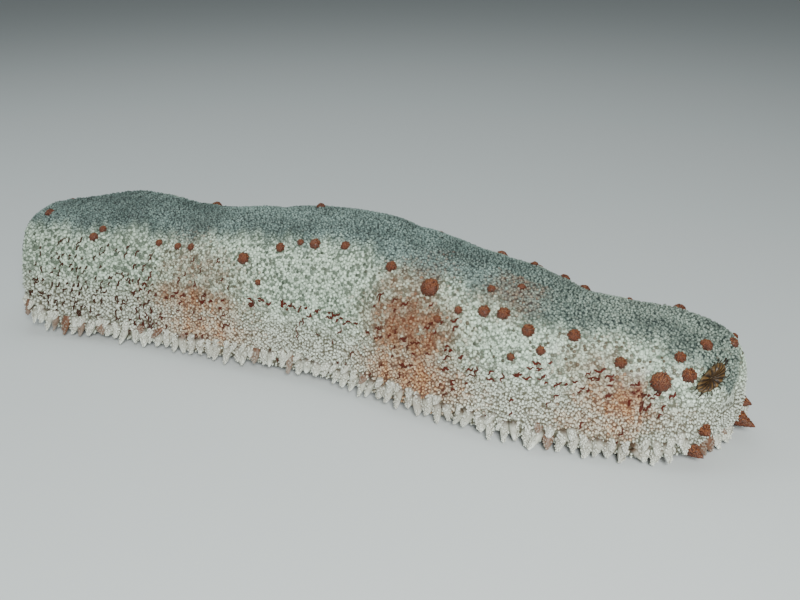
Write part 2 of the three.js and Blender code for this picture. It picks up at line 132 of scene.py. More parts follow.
@dataclass
class BodyForm:
    """The body's surface as a formula of length from the head and turn round it."""

    midline: tuple = (
        (-303, 9), (-245, 23), (-189, 30), (-133, 33), (-77, 33), (-21, 35),
        (41, 26), (102, 12), (159, 2), (210, 2), (255, 3), (296, -17),
    )
    half_width: tuple = (58, 64, 66, 67, 68, 68, 67, 65, 62, 59, 57, 53)
    height: tuple = (93, 96, 98, 100, 108, 113, 113, 107, 100, 88, 85, 83)
    centre_shift: tuple = (-4.3, -21.5)
    squareness_above: float = 3.0
    squareness_below: float = 5.0
    widest_rise: float = 0.3
    back_taper: float = 0.2
    taper_start: float = 0.12
    sole_rise: float = 0.02
    head: EndShape = EndShape(30, 24, 60, 2.6, 3.0, 2.2, 0.6)
    tail: EndShape = EndShape(42, 42, 34, 2.3, 2.3, 2.6, 0.55)
    swells: tuple = (
        Swell(96, 112, 46, 32, 10), Swell(330, 95, 60, 40, 2), Swell(470, 120, 40, 35, 4),
    )
    table_steps: int = 400
    table_share: np.ndarray = field(init=False)
    table_length: np.ndarray = field(init=False)
    body_length: float = field(init=False)

    def __post_init__(self) -> None:
        """Measure the midline once, so that places can be given by length."""
        self.table_share = np.linspace(0.0, 1.0, self.table_steps + 1)
        points = self.spline(np.array(self.midline, float), self.table_share, mirrored=True)
        steps = np.hypot(*np.diff(points, axis=0).T)
        self.table_length = np.concatenate([[0.0], np.cumsum(steps)])
        self.body_length = float(self.table_length[-1])

    @staticmethod
    def spline(knots: np.ndarray, share: np.ndarray, mirrored: bool) -> np.ndarray:
        """Smooth curve through evenly stepped knots.

        Args:
            knots: Values at the knots, one or more numbers each.
            share: Places along the curve, 0 to 1.
            mirrored: Mirror the end knots outwards rather than repeat them.

        Returns:
            The curve's values at each place.
        """
        count = len(knots)
        at = np.clip(share, 0.0, 1.0) * (count - 1)
        index = np.minimum(at.astype(int), count - 2)
        part = at - index
        first = 2 * knots[0] - knots[1] if mirrored else knots[0]
        last = 2 * knots[-1] - knots[-2] if mirrored else knots[-1]
        padded = np.concatenate([[first], knots, [last]])
        if knots.ndim == 2:
            part = part[..., None]
        start, end = padded[index + 1], padded[index + 2]
        leave = 0.5 * (end - padded[index])
        arrive = 0.5 * (padded[index + 3] - start)
        squared, cubed = part**2, part**3
        return (
            (2 * cubed - 3 * squared + 1) * start
            + (cubed - 2 * squared + part) * leave
            + (3 * squared - 2 * cubed) * end
            + (cubed - squared) * arrive
        )

    def axis(self, length: np.ndarray) -> tuple[np.ndarray, np.ndarray]:
        """Place on the midline and the level direction towards the left flank."""
        knots = np.array(self.midline, float)
        share = np.interp(length, self.table_length, self.table_share)
        place = self.spline(knots, share, mirrored=True) + np.array(self.centre_shift)
        ahead = self.spline(knots, np.minimum(share + 1e-3, 1.0), mirrored=True)
        behind = self.spline(knots, np.maximum(share - 1e-3, 0.0), mirrored=True)
        along = unit(ahead - behind)
        return place, np.stack([along[..., 1], -along[..., 0]], -1)

    def section(self, angle: np.ndarray) -> tuple[np.ndarray, np.ndarray]:
        """Share of the half width and of the height at an angle round the body."""
        cosine, sine = np.cos(angle), np.sin(angle)
        power = 2.0 / np.where(sine > 0, self.squareness_above, self.squareness_below)
        side = np.sign(cosine) * np.abs(cosine) ** power
        lift = np.sign(sine) * np.abs(sine) ** power
        above = self.widest_rise + (1 - self.widest_rise) * lift
        level = np.where(lift > 0, above, self.widest_rise * (1 + lift))
        rise = np.maximum(0.0, (level - self.sole_rise) / (1 - self.sole_rise))
        taper = np.clip((rise - self.taper_start) / (1 - self.taper_start), 0.0, 1.0)
        return side * (1 - self.back_taper * taper), rise

    @staticmethod
    def opening(depth: np.ndarray, reach: np.ndarray, blunt: np.ndarray) -> np.ndarray:
        """How far an outline has opened out at a depth behind the tip."""
        closed = np.clip(1 - depth / reach, 0.0, 1.0)
        return (1 - closed**blunt) ** (1 / blunt)

    def swell(self, length: np.ndarray, angle: np.ndarray) -> np.ndarray:
        """Height that the swells add at a place on the back."""
        total = np.zeros(np.broadcast(length, angle).shape)
        for swell in self.swells:
            away = (length - swell.length) / swell.spread
            round_body = (np.degrees(angle) - swell.degrees) / swell.turn
            total = total + swell.lift * np.exp(-(away**2) - round_body**2)
        return total

    def skin(self, length: np.ndarray, angle: np.ndarray) -> np.ndarray:
        """Points of the skin in millimetres.

        Args:
            length: Distances from the head tip along the midline.
            angle: Turns round the body from the left flank upward, in radians.

        Returns:
            One point for each pair.
        """
        length, angle = np.broadcast_arrays(np.asarray(length, float), np.asarray(angle, float))
        length = np.clip(length, 0.0, self.body_length)
        place, near = self.axis(length)
        share = length / self.body_length
        half = self.spline(np.array(self.half_width, float), share, mirrored=False)
        tall = self.spline(np.array(self.height, float), share, mirrored=False)
        side, rise = self.section(angle)
        from_tail = self.body_length - length
        at_head = length < from_tail
        depth = np.minimum(length, from_tail)

        def pick(name: str) -> np.ndarray:
            """Size of the nearer end."""
            return np.where(at_head, getattr(self.head, name), getattr(self.tail, name))

        wide = self.opening(depth, pick("side"), pick("side_blunt"))
        open_above = self.opening(depth, pick("above"), pick("above_blunt"))
        open_below = self.opening(depth, pick("below"), pick("below_blunt"))
        upright = np.where(rise > pick("pole"), open_above, open_below)
        reach = half * side * wide
        level = tall * (pick("pole") + (rise - pick("pole")) * upright)
        level = level + self.swell(length, angle) * wide
        across = place + near * reach[..., None]
        return np.stack([across[..., 0], across[..., 1], level], -1)

    def normal(self, length: np.ndarray, angle: np.ndarray) -> np.ndarray:
        """Outward directions of the skin."""
        step, turn = 0.4, 0.02
        length = np.clip(length, step, self.body_length - step)
        lengthwise = self.skin(length + step, angle) - self.skin(length - step, angle)
        round_body = self.skin(length, angle + turn) - self.skin(length, angle - turn)
        return unit(np.cross(lengthwise, round_body))

    def evenly_round(
        self, length: float, spacing: float, band: tuple, shift: float, jitter: Callable[[int], np.ndarray]
    ) -> np.ndarray:
        """Angles at even distances round the body at one length.

        Args:
            length: Distance from the head tip.
            spacing: Distance wanted between two places.
            band: First and last turn, in degrees.
            shift: Share of a step that the row is set off by.
            jitter: Draws an uneven share of a step for each place.

        Returns:
            Angles in radians.
        """
        fine = np.radians(np.linspace(band[0], band[1], 620))
        points = self.skin(np.full(fine.shape, length), fine)
        steps = np.linalg.norm(np.diff(points, axis=0), axis=1)
        travelled = np.concatenate([[0.0], np.cumsum(steps)])
        count = max(int(round(travelled[-1] / spacing)), 2)
        goals = (np.arange(count) + 0.25 + shift + jitter(count)) * (travelled[-1] / count)
        return np.interp(np.clip(goals, 0.0, travelled[-1]), travelled, fine)


FORM = BodyForm()


@dataclass(frozen=True)
class Blotch:
    """Rust-orange blotch: its middle, its spread and how strong it is."""

    length: float
    level: float
    spread: float
    tall: float
    strength: float
    side: int = 1


@dataclass
class Markings:
    """Where the body's colours change, shared by the skin and its coat."""

    blotches: tuple = (
        Blotch(190, 51, 46, 15, 0.82), Blotch(198, 27, 42, 19, 0.66), Blotch(192, 72, 42, 20, 0.48),
        Blotch(396, 64, 39, 28, 1.0), Blotch(402, 30, 42, 23, 0.90), Blotch(388, 88, 28, 14, 0.62),
        Blotch(404, 10, 32, 12, 0.7), Blotch(541, 46, 34, 18, 0.95), Blotch(556, 37, 34, 13, 0.80),
        Blotch(530, 24, 38, 14, 0.52), Blotch(518, 62, 24, 14, 0.48), Blotch(456, 93, 20, 12, 0.34),
        Blotch(120, 50, 34, 26, 0.65, -1), Blotch(128, 26, 30, 16, 0.55, -1),
        Blotch(285, 60, 38, 32, 0.95, -1), Blotch(290, 26, 34, 20, 0.75, -1),
        Blotch(470, 44, 32, 24, 0.85, -1),
    )
    back_low: float = 43.0
    back_high: float = 70.0

    def blotch(self, length: np.ndarray, angle: np.ndarray) -> np.ndarray:
        """Strength of the rust-orange blotches at each place."""
        points = FORM.skin(length, angle)
        facing = np.where(np.cos(angle) >= 0, 1, -1)
        total = np.zeros(length.shape)
        for blotch in self.blotches:
            away = (length - blotch.length) / blotch.spread
            up = (points[..., 2] - blotch.level) / blotch.tall
            fade = np.exp(-((away**2 + up**2) ** 1.5))
            total = np.maximum(total, np.where(facing == blotch.side, blotch.strength, 0.0) * fade)
        lengthwise = np.sin(length * 0.31 + 2.1 * np.sin(angle * 7.0))
        ragged = 0.5 + 0.5 * lengthwise * np.sin(angle * 13.0 + length * 0.11)
        return np.clip(total * (0.72 + 0.5 * ragged), 0.0, 1.0)

    def back(self, length: np.ndarray, angle: np.ndarray) -> np.ndarray:
        """Share of the greyer back colour at each place, with an uneven edge; that colour is darkened and
        tinted teal as painted shade.
        """
        slow = 3.5 * np.sin(length * 0.061 + 0.4) + 3.0 * np.sin(length * 0.17)
        waver = slow + 2.5 * np.sin(length * 0.47 + angle * 9)
        from_middle = np.abs(np.degrees(angle) - 90.0) + waver
        return 1.0 - smooth_step(90.0 - self.back_high, 90.0 - self.back_low, from_middle)

    def lower(self, length: np.ndarray, angle: np.ndarray) -> np.ndarray:
        """Share of the lower flank's pointed white granules at each place."""
        level = FORM.skin(length, angle)[..., 2]
        return 1.0 - smooth_step(30.0, 66.0, level)

    def head_end(self, length: np.ndarray) -> np.ndarray:
        """Share of the coarse blocky granules near the head."""
        return 1.0 - smooth_step(110.0, 175.0, length)


MARKS = Markings()


@dataclass(frozen=True)
class SkinFinish:
    """Wet, granular skin: top colours of each part of the body, and recess colours that hold the skin's
    darker tone with painted shade between the granules.
    """

    name: str = "cream_granular_skin"
    # Recess colours: the skin's darker tone with painted shade between the granules and down their sides.
    recess_shade: tuple = (0.105, 0.135, 0.095)
    top: tuple = (0.66, 0.78, 0.64)
    low_recess_shade: tuple = (0.088, 0.078, 0.050)
    low_top: tuple = (0.86, 0.92, 0.81)
    # The back's colours: a greyer tone, darkened and tinted teal as painted shade of the back.
    back_recess_shade: tuple = (0.016, 0.026, 0.023)
    shaded_back_top: tuple = (0.250, 0.345, 0.315)
    shaded_tail_back_top: tuple = (0.32, 0.39, 0.325)
    rust_recess_shade: tuple = (0.100, 0.024, 0.006)
    rust_top: tuple = (0.250, 0.108, 0.042)
    peach_top: tuple = (0.62, 0.35, 0.150)
    speck_green: tuple = (0.022, 0.036, 0.018)
    speck_brown: tuple = (0.055, 0.028, 0.010)
    roughness: float = 0.55


@dataclass(frozen=True)
class WartFinish:
    """Orange-brown warts and cones: dark red between their grains, darkened further as painted shade, tawny
    on top.
    """

    name: str = "orange_brown_warts"
    # Foot and middle colours: the warts' dark red with painted shade between the grains.
    foot: tuple = (0.024, 0.006, 0.002)
    middle: tuple = (0.110, 0.024, 0.005)
    top: tuple = (0.260, 0.092, 0.020)
    olive: tuple = (0.150, 0.105, 0.032)
    roughness: float = 0.5


@dataclass(frozen=True)
class FringeFinish:
    """Pale papillae of the margin with brown roots, darkened as painted shade in the gaps between them,
    some of them brown.
    """

    name: str = "margin_papillae"
    # Root: brown base of the papillae, darkened as painted shade in the gaps.
    root: tuple = (0.055, 0.036, 0.020)
    side: tuple = (0.45, 0.45, 0.38)
    tip: tuple = (0.83, 0.85, 0.78)
    brown: tuple = (0.125, 0.045, 0.018)
    roughness: float = 0.52


@dataclass(frozen=True)
class CreaseFinish:
    """Creases between the granules: dark red markings on most of the body, and near the head brown strips
    of painted shade in the gaps between the blocky granules.
    """

    name: str = "crease_and_gap_shade_colours"
    brown: tuple = (0.036, 0.016, 0.008)
    red: tuple = (0.075, 0.009, 0.004)
    roughness: float = 0.8


@dataclass(frozen=True)
class MouthFinish:
    """Brown feeding tentacles with paler, wet shields."""

    name: str = "brown_tentacles"
    stalk: tuple = (0.10, 0.045, 0.020)
    shield: tuple = (0.22, 0.12, 0.06)
    roughness: float = 0.38


@dataclass(frozen=True)
class VentFinish:
    """Folded vent, dark in the grooves as painted shade, and amber on the folds."""

    name: str = "amber_vent_folds"
    groove_shade: tuple = (0.012, 0.006, 0.003)
    fold: tuple = (0.170, 0.088, 0.022)
    rim: tuple = (0.150, 0.105, 0.050)
    roughness: float = 0.68


class NodeSheet:
    """Small helper that lays shader nodes in one material."""

    def __init__(self, name: str, roughness: float) -> None:
        """Start a material with its Principled shader."""
        self.material = bpy.data.materials.new(name)
        self.material.use_nodes = True
        self.tree = self.material.node_tree
        self.shader = self.tree.nodes["Principled BSDF"]
        self.shader.inputs["Roughness"].default_value = roughness
        self.shader.inputs["Specular IOR Level"].default_value = 0.45
        self.shader.inputs["Coat Roughness"].default_value = 0.3

    def add(self, kind: str, **settings: object) -> bpy.types.Node:
        """Add one node and set its plain properties."""
        node = self.tree.nodes.new(kind)
        for key, value in settings.items():
            setattr(node, key, value)
        return node

    def link(self, source: bpy.types.NodeSocket, target: bpy.types.NodeSocket) -> None:
        """Join an output to an input."""
        self.tree.links.new(source, target)

    def attribute(self, name: str) -> bpy.types.NodeSocket:
        """Read a number that is stored on the mesh."""
        return self.add("ShaderNodeAttribute", attribute_name=name).outputs["Fac"]

    def colour(self, value: tuple) -> bpy.types.NodeSocket:
        """A plain colour to mix with."""
        node = self.add("ShaderNodeRGB")
        node.outputs[0].default_value = (*value, 1.0)
        return node.outputs[0]

    def mix(
        self, share: bpy.types.NodeSocket, first: bpy.types.NodeSocket, second: bpy.types.NodeSocket
    ) -> bpy.types.NodeSocket:
        """Blend two colours by a share."""
        node = self.add("ShaderNodeMix", data_type="RGBA")
        self.link(share, node.inputs["Factor"])
        self.link(first, node.inputs["A"])
        self.link(second, node.inputs["B"])
        return node.outputs["Result"]

    def math(self, kind: str, first: object, second: object = 0.0) -> bpy.types.NodeSocket:
        """Combine two numbers, each a socket or a plain value."""
        node = self.add("ShaderNodeMath", operation=kind)
        for index, value in enumerate((first, second)):
            if isinstance(value, (int, float)):
                node.inputs[index].default_value = value
            else:
                self.link(value, node.inputs[index])
        return node.outputs[0]

    def ramp(self, value: bpy.types.NodeSocket, low: float, high: float) -> bpy.types.NodeSocket:
        """Rise from 0 to 1 between two values."""
        node = self.add("ShaderNodeMapRange", interpolation_type="SMOOTHSTEP")
        node.inputs["From Min"].default_value = low
        node.inputs["From Max"].default_value = high
        self.link(value, node.inputs["Value"])
        return node.outputs["Result"]

    def noise(self, scale: float, detail: float = 3.0, rough: float = 0.55) -> bpy.types.NodeSocket:
        """Cloudy noise in the object's own coordinates."""
        place = self.add("ShaderNodeTexCoord").outputs["Object"]
        node = self.add("ShaderNodeTexNoise")
        node.inputs["Scale"].default_value = scale
        node.inputs["Detail"].default_value = detail
        node.inputs["Roughness"].default_value = rough
        self.link(place, node.inputs["Vector"])
        return node.outputs["Fac"]

    def group(self, tree: bpy.types.NodeTree, **values: float) -> bpy.types.Node:
        """Place a shared node group with its own values."""
        node = self.add("ShaderNodeGroup", node_tree=tree)
        for key, value in values.items():
            node.inputs[key].default_value = value
        return node

    def bump(self, height: bpy.types.NodeSocket, strength: float, distance: float) -> None:
        """Feed a fine relief into the shader's normal."""
        node = self.add("ShaderNodeBump")
        node.inputs["Strength"].default_value = strength
        node.inputs["Distance"].default_value = distance
        self.link(height, node.inputs["Height"])
        self.link(node.outputs["Normal"], self.shader.inputs["Normal"])


def wet_skin_group() -> bpy.types.NodeTree:
    """Shared effect: fine relief and uneven wetness of living skin.

    Returns:
        A node group with the outputs Relief, Roughness and Wet.
    """
    tree = bpy.data.node_groups.new("wet_skin_relief", "ShaderNodeTree")
    for name, value in (("Scale", 900.0), ("Dryness", 0.5), ("Spread", 0.2)):
        socket = tree.interface.new_socket(name, in_out="INPUT", socket_type="NodeSocketFloat")
        socket.default_value = value
    for name in ("Relief", "Roughness", "Wet"):
        tree.interface.new_socket(name, in_out="OUTPUT", socket_type="NodeSocketFloat")
    start = tree.nodes.new("NodeGroupInput")
    end = tree.nodes.new("NodeGroupOutput")
    place = tree.nodes.new("ShaderNodeTexCoord")
    fine = tree.nodes.new("ShaderNodeTexNoise")
    fine.inputs["Detail"].default_value = 4.0
    coarse = tree.nodes.new("ShaderNodeTexNoise")
    coarse.inputs["Scale"].default_value = 70.0
    coarse.inputs["Detail"].default_value = 2.0
    tree.links.new(place.outputs["Object"], fine.inputs["Vector"])
    tree.links.new(place.outputs["Object"], coarse.inputs["Vector"])
    tree.links.new(start.outputs["Scale"], fine.inputs["Scale"])
    tree.links.new(fine.outputs["Fac"], end.inputs["Relief"])
    centred = tree.nodes.new("ShaderNodeMath")
    centred.operation = "SUBTRACT"
    centred.inputs[1].default_value = 0.5
    tree.links.new(coarse.outputs["Fac"], centred.inputs[0])
    scaled = tree.nodes.new("ShaderNodeMath")
    scaled.operation = "MULTIPLY_ADD"
    tree.links.new(centred.outputs[0], scaled.inputs[0])
    tree.links.new(start.outputs["Spread"], scaled.inputs[1])
    tree.links.new(start.outputs["Dryness"], scaled.inputs[2])
    tree.links.new(scaled.outputs[0], end.inputs["Roughness"])
    wet = tree.nodes.new("ShaderNodeMapRange")
    wet.inputs["From Min"].default_value = 0.45
    wet.inputs["From Max"].default_value = 0.7
    wet.inputs["To Max"].default_value = 0.35
    tree.links.new(coarse.outputs["Fac"], wet.inputs["Value"])
    tree.links.new(wet.outputs["Result"], end.inputs["Wet"])
    return tree


class Palette:
    """Makes each finish once and hands out its material."""

    def __init__(self) -> None:
        """Build the shared group and every material."""
        self.wet_skin = wet_skin_group()
        self.skin = self.make_skin(SkinFinish(), on_granules=False)
        self.coat = self.make_skin(SkinFinish(name="cream_granules"), on_granules=True)
        self.wart = self.make_wart(WartFinish())
        self.fringe = self.make_fringe(FringeFinish())
        crease, mouth, vent = CreaseFinish(), MouthFinish(), VentFinish()
        # Crease colours: brown painted shade near the head, dark red markings elsewhere.
        self.crease = self.make_two_tone(crease.name, "warm", crease.brown, crease.red, crease.roughness)
        self.mouth = self.make_two_tone(mouth.name, "tip", mouth.stalk, mouth.shield, mouth.roughness)
        self.vent = self.make_vent(vent)

    def dress_surface(self, sheet: NodeSheet, dryness: float, distance: float) -> None:
        """Give a material the shared relief, roughness and wet coat."""
        group = sheet.group(self.wet_skin, Dryness=dryness)
        sheet.link(group.outputs["Roughness"], sheet.shader.inputs["Roughness"])
        sheet.link(group.outputs["Wet"], sheet.shader.inputs["Coat Weight"])
        sheet.bump(group.outputs["Relief"], 0.35, distance)

    def make_skin(self, finish: SkinFinish, on_granules: bool) -> bpy.types.Material:
        """Skin or granule material from the same markings.

        Args:
            finish: Colours and roughness.
            on_granules: True for the granules, which show tops and specks.

        Returns:
            The material.
        """
        sheet = NodeSheet(finish.name, finish.roughness)
        broad, fine = sheet.noise(26.0, 4.0), sheet.noise(420.0, 3.0, 0.65)
        back, low, blotch = (sheet.attribute(name) for name in ("back", "low", "blotch"))
        cloudy = sheet.ramp(broad, 0.36, 0.68)

        def by_place(plain: tuple, lower: tuple, upper: tuple) -> bpy.types.NodeSocket:
            """Colour of the flank, its lower part and the back."""
            flank = sheet.mix(low, sheet.colour(plain), sheet.colour(lower))
            return sheet.mix(back, flank, sheet.colour(upper))

        # Recess colour: painted shade between the granules over the skin's darker tone, rust inside the
        # blotches.
        recess_shade = by_place(finish.recess_shade, finish.low_recess_shade, finish.back_recess_shade)
        recess_shade = sheet.mix(blotch, recess_shade, sheet.colour(finish.rust_recess_shade))
        warm = sheet.attribute("warm")
        # The back's top colour, darkened as painted shade, a little paler towards the tail.
        shaded_back_top = sheet.mix(warm, sheet.colour(finish.shaded_back_top), sheet.colour(finish.shaded_tail_back_top))
        flank_top = sheet.mix(low, sheet.colour(finish.top), sheet.colour(finish.low_top))
        top = sheet.mix(back, flank_top, shaded_back_top)
        rusty = sheet.mix(low, sheet.colour(finish.rust_top), sheet.colour(finish.peach_top))
        top = sheet.mix(sheet.math("MULTIPLY", blotch, 0.92), top, rusty)
        if on_granules:
            # Each granule runs from its top colour down to the recess colour at its foot: painted shade
            # down its sides.
            tip = sheet.attribute("tip")
            share = sheet.ramp(sheet.math("ADD", tip, sheet.math("MULTIPLY", fine, 0.3)), 0.28, 1.0)
            colour = sheet.mix(share, recess_shade, top)
            speck = sheet.mix(warm, sheet.colour(finish.speck_green), sheet.colour(finish.speck_brown))
            specked = sheet.math("MULTIPLY", sheet.ramp(tip, 0.15, 0.60), sheet.attribute("speck"))
            colour = sheet.mix(specked, colour, speck)
            # Each granule darkens towards the recess colour by its tint: random tone, and painted shade
            # near the head.
            shade = sheet.math("MULTIPLY", sheet.attribute("tint"), 0.6)
        else:
            # Bare skin stays part way to the recess colour, mottled by fine noise: painted shade between
            # the granules.
            grain = sheet.ramp(fine, 0.42, 0.60)
            colour = sheet.mix(sheet.math("MULTIPLY", grain, 0.75), recess_shade, top)
            # Painted shade: the skin near the floor goes dark, so the gaps between the fringe papillae look
            # shaded.
            colour = sheet.mix(sheet.attribute("painted_edge_shade"), colour, sheet.colour(finish.low_recess_shade))
            shade = sheet.math("MULTIPLY", cloudy, 0.2)
        patches = sheet.math("MULTIPLY", back, sheet.math("MULTIPLY", cloudy, 0.55))
        shaded = sheet.mix(patches, colour, recess_shade)
        final = sheet.mix(shade, shaded, recess_shade)
        sheet.link(final, sheet.shader.inputs["Base Color"])
        self.dress_surface(sheet, finish.roughness, 0.0005)
        return sheet.material

    def make_wart(self, finish: WartFinish) -> bpy.types.Material:
        """Warts: dark feet (painted shade between the grains), rusty sides, tawny or olive tops."""
        sheet = NodeSheet(finish.name, finish.roughness)
        tip = sheet.attribute("tip")
        fine = sheet.noise(520.0, 3.0, 0.65)
        patchy = sheet.noise(160.0, 2.0)
        tawny, olive = sheet.colour(finish.top), sheet.colour(finish.olive)
        high_colour = sheet.mix(sheet.ramp(patchy, 0.52, 0.66), tawny, olive)
        low = sheet.mix(sheet.ramp(tip, 0.0, 0.45), sheet.colour(finish.foot), sheet.colour(finish.middle))
        high = sheet.mix(sheet.ramp(tip, 0.45, 0.95), low, high_colour)
        dark = sheet.math("MULTIPLY", sheet.ramp(fine, 0.5, 0.66), 0.7)
        grained = sheet.mix(dark, high, sheet.colour(finish.foot))
        sheet.link(grained, sheet.shader.inputs["Base Color"])
        self.dress_surface(sheet, finish.roughness, 0.0005)
        return sheet.material

    def make_fringe(self, finish: FringeFinish) -> bpy.types.Material:
        """Margin papillae: shaded root, pale tip, some of them brown."""
        sheet = NodeSheet(finish.name, finish.roughness)
        tip = sheet.attribute("tip")
        brown = sheet.attribute("brown")
        fine = sheet.noise(300.0, 3.0, 0.6)
        low = sheet.mix(sheet.ramp(tip, 0.0, 0.35), sheet.colour(finish.root), sheet.colour(finish.side))
        high = sheet.mix(sheet.ramp(tip, 0.5, 1.0), low, sheet.colour(finish.tip))
        dark = sheet.math("MULTIPLY", sheet.ramp(fine, 0.5, 0.75), 0.55)
        mottled = sheet.mix(dark, high, sheet.colour(finish.root))
        final = sheet.mix(brown, mottled, sheet.colour(finish.brown))
        sheet.link(final, sheet.shader.inputs["Base Color"])
        self.dress_surface(sheet, finish.roughness, 0.0004)
        return sheet.material

    def make_two_tone(
        self, name: str, by: str, first: tuple, second: tuple, roughness: float
    ) -> bpy.types.Material:
        """Dull material that runs from one colour to another.

        Args:
            name: Its name.
            by: Name of the number on the mesh that it runs by.
            first: Colour at 0.
            second: Colour at 1.
            roughness: Roughness of the surface.

        Returns:
            The material.
        """
        sheet = NodeSheet(name, roughness)
        fine = sheet.noise(350.0, 3.0)
        share = sheet.math("MULTIPLY", sheet.attribute(by), sheet.ramp(fine, 0.2, 0.6))
        colour = sheet.mix(share, sheet.colour(first), sheet.colour(second))
        sheet.link(colour, sheet.shader.inputs["Base Color"])
        sheet.shader.inputs["Specular IOR Level"].default_value = 0.2
        self.dress_surface(sheet, roughness, 0.0003)
        return sheet.material

    def make_vent(self, finish: VentFinish) -> bpy.types.Material:
        """Vent folds: dark grooves of painted shade, amber ridges, and a duller rim that meets the skin."""
        sheet = NodeSheet(finish.name, finish.roughness)
        fine = sheet.noise(450.0, 3.0, 0.65)
        share = sheet.math("MULTIPLY", sheet.attribute("tip"), sheet.ramp(fine, 0.25, 0.65))
        folds = sheet.mix(share, sheet.colour(finish.groove_shade), sheet.colour(finish.fold))
        final = sheet.mix(sheet.attribute("rim"), folds, sheet.colour(finish.rim))
        sheet.link(final, sheet.shader.inputs["Base Color"])
        sheet.shader.inputs["Specular IOR Level"].default_value = 0.25
        self.dress_surface(sheet, finish.roughness, 0.0003)
        return sheet.material


def deselect_all() -> None:
    """Leave nothing selected, so that an operator acts on its own piece."""
    if bpy.context.object and bpy.context.object.mode != "OBJECT":
        bpy.ops.object.mode_set(mode="OBJECT")
    bpy.ops.object.select_all(action="DESELECT")


@dataclass
class Pattern:
    """A small modelled form that is repeated: its points, faces and tip shares."""

    points: np.ndarray
    faces: list
    tip: np.ndarray

    @classmethod
    def from_object(cls, piece: bpy.types.Object) -> "Pattern":
        """Read a modelled form, with its height along Z from 0 to 1, and remove it."""
        mesh = piece.data
        points = np.zeros(len(mesh.vertices) * 3)
        mesh.vertices.foreach_get("co", points)
        points = points.reshape(-1, 3)
        faces = [tuple(polygon.vertices) for polygon in mesh.polygons]
        bpy.data.objects.remove(piece)
        bpy.data.meshes.remove(mesh)
        return cls(points, faces, np.clip(points[:, 2], 0.0, 1.0))


def model_spire(sides: int, profile: tuple) -> Pattern:
    """Model a papilla: a disc whose top is drawn up and in, step by step.

    Args:
        sides: Number of sides.
        profile: (height, radius) of each ring above the foot, the last a point.

    Returns:
        The form, with its foot of radius 1 at Z 0.
    """
    deselect_all()
    bpy.ops.mesh.primitive_circle_add(vertices=sides, radius=1.0, fill_type="NGON")
    piece = bpy.context.object
    bpy.ops.object.mode_set(mode="EDIT")
    bpy.ops.mesh.select_all(action="SELECT")
    level, radius = 0.0, 1.0
    for height, wide in profile:
        bpy.ops.mesh.extrude_region_move(TRANSFORM_OT_translate={"value": (0.0, 0.0, height - level)})
        share = max(wide, 0.02) / radius
        bpy.ops.transform.resize(value=(share, share, 1.0))
        level, radius = height, max(wide, 0.02)
    bpy.ops.mesh.merge(type="CENTER")
    bpy.ops.mesh.select_all(action="SELECT")
    bpy.ops.mesh.normals_make_consistent(inside=False)
    bpy.ops.object.mode_set(mode="OBJECT")
    return Pattern.from_object(piece)


@dataclass
class Scatter:
    """Copies of one pattern, joined in a single mesh."""

    pattern: Pattern
    roots: np.ndarray
    normals: np.ndarray
    radii: np.ndarray
    heights: np.ndarray
    spins: np.ndarray
    flatness: np.ndarray | None = None

    def frames(self) -> tuple[np.ndarray, np.ndarray]:
        """Two directions square to each normal, turned by each spin."""
        helper = np.where(np.abs(self.normals[:, 2:3]) > 0.9, BESIDE, UP)
        first = unit(np.cross(helper, self.normals))
        second = np.cross(self.normals, first)
        turn_cos, turn_sin = np.cos(self.spins)[:, None], np.sin(self.spins)[:, None]
        return first * turn_cos + second * turn_sin, second * turn_cos - first * turn_sin

    def points(self) -> np.ndarray:
        """Points of every copy, in millimetres, shaped (copies, points, 3)."""
        first, second = self.frames()
        local = self.pattern.points
        flat = np.ones(len(self.roots)) if self.flatness is None else self.flatness
        across = self.radii[:, None] * local[None, :, 0]
        beside = (self.radii * flat)[:, None] * local[None, :, 1]
        upward = self.heights[:, None] * local[None, :, 2]
        flat_part = across[..., None] * first[:, None, :] + beside[..., None] * second[:, None, :]
        return self.roots[:, None, :] + flat_part + upward[..., None] * self.normals[:, None, :]


def mesh_piece(
    name: str, points: np.ndarray, faces: list, material: bpy.types.Material
) -> bpy.types.Object:
    """Make one object from points in millimetres.

    Args:
        name: Name of the piece.
        points: Its points, in millimetres.
        faces: Its faces as rows of point numbers.
        material: Its finish.

    Returns:
        The object, at the origin, in metres.
    """
    mesh = bpy.data.meshes.new(name)
    sizes = np.array([len(face) for face in faces], dtype=np.int32)
    corners = np.array([index for face in faces for index in face], dtype=np.int32)
    mesh.vertices.add(points.size // 3)
    mesh.vertices.foreach_set("co", (points.reshape(-1, 3) * MM).astype(np.float32).ravel())
    mesh.loops.add(len(corners))
    mesh.loops.foreach_set("vertex_index", corners)
    mesh.polygons.add(len(sizes))
    mesh.polygons.foreach_set("loop_start", np.concatenate([[0], np.cumsum(sizes)[:-1]]).astype(np.int32))
    mesh.materials.append(material)
    mesh.update(calc_edges=True)
    mesh.validate()
    piece = bpy.data.objects.new(name, mesh)
    bpy.context.scene.collection.objects.link(piece)
    return piece


def store(piece: bpy.types.Object, name: str, values: np.ndarray) -> None:
    """Keep one number for each point of a piece."""
    attribute = piece.data.attributes.new(name, "FLOAT", "POINT")
    attribute.data.foreach_set("value", np.ascontiguousarray(values, dtype=np.float32).ravel())


def smooth_shade(piece: bpy.types.Object, degrees: float = 50.0) -> None:
    """Shade a piece smooth except across sharp edges."""
    deselect_all()
    piece.select_set(True)
    bpy.context.view_layer.objects.active = piece
    bpy.ops.object.shade_smooth_by_angle(angle=math.radians(degrees))
    piece.select_set(False)


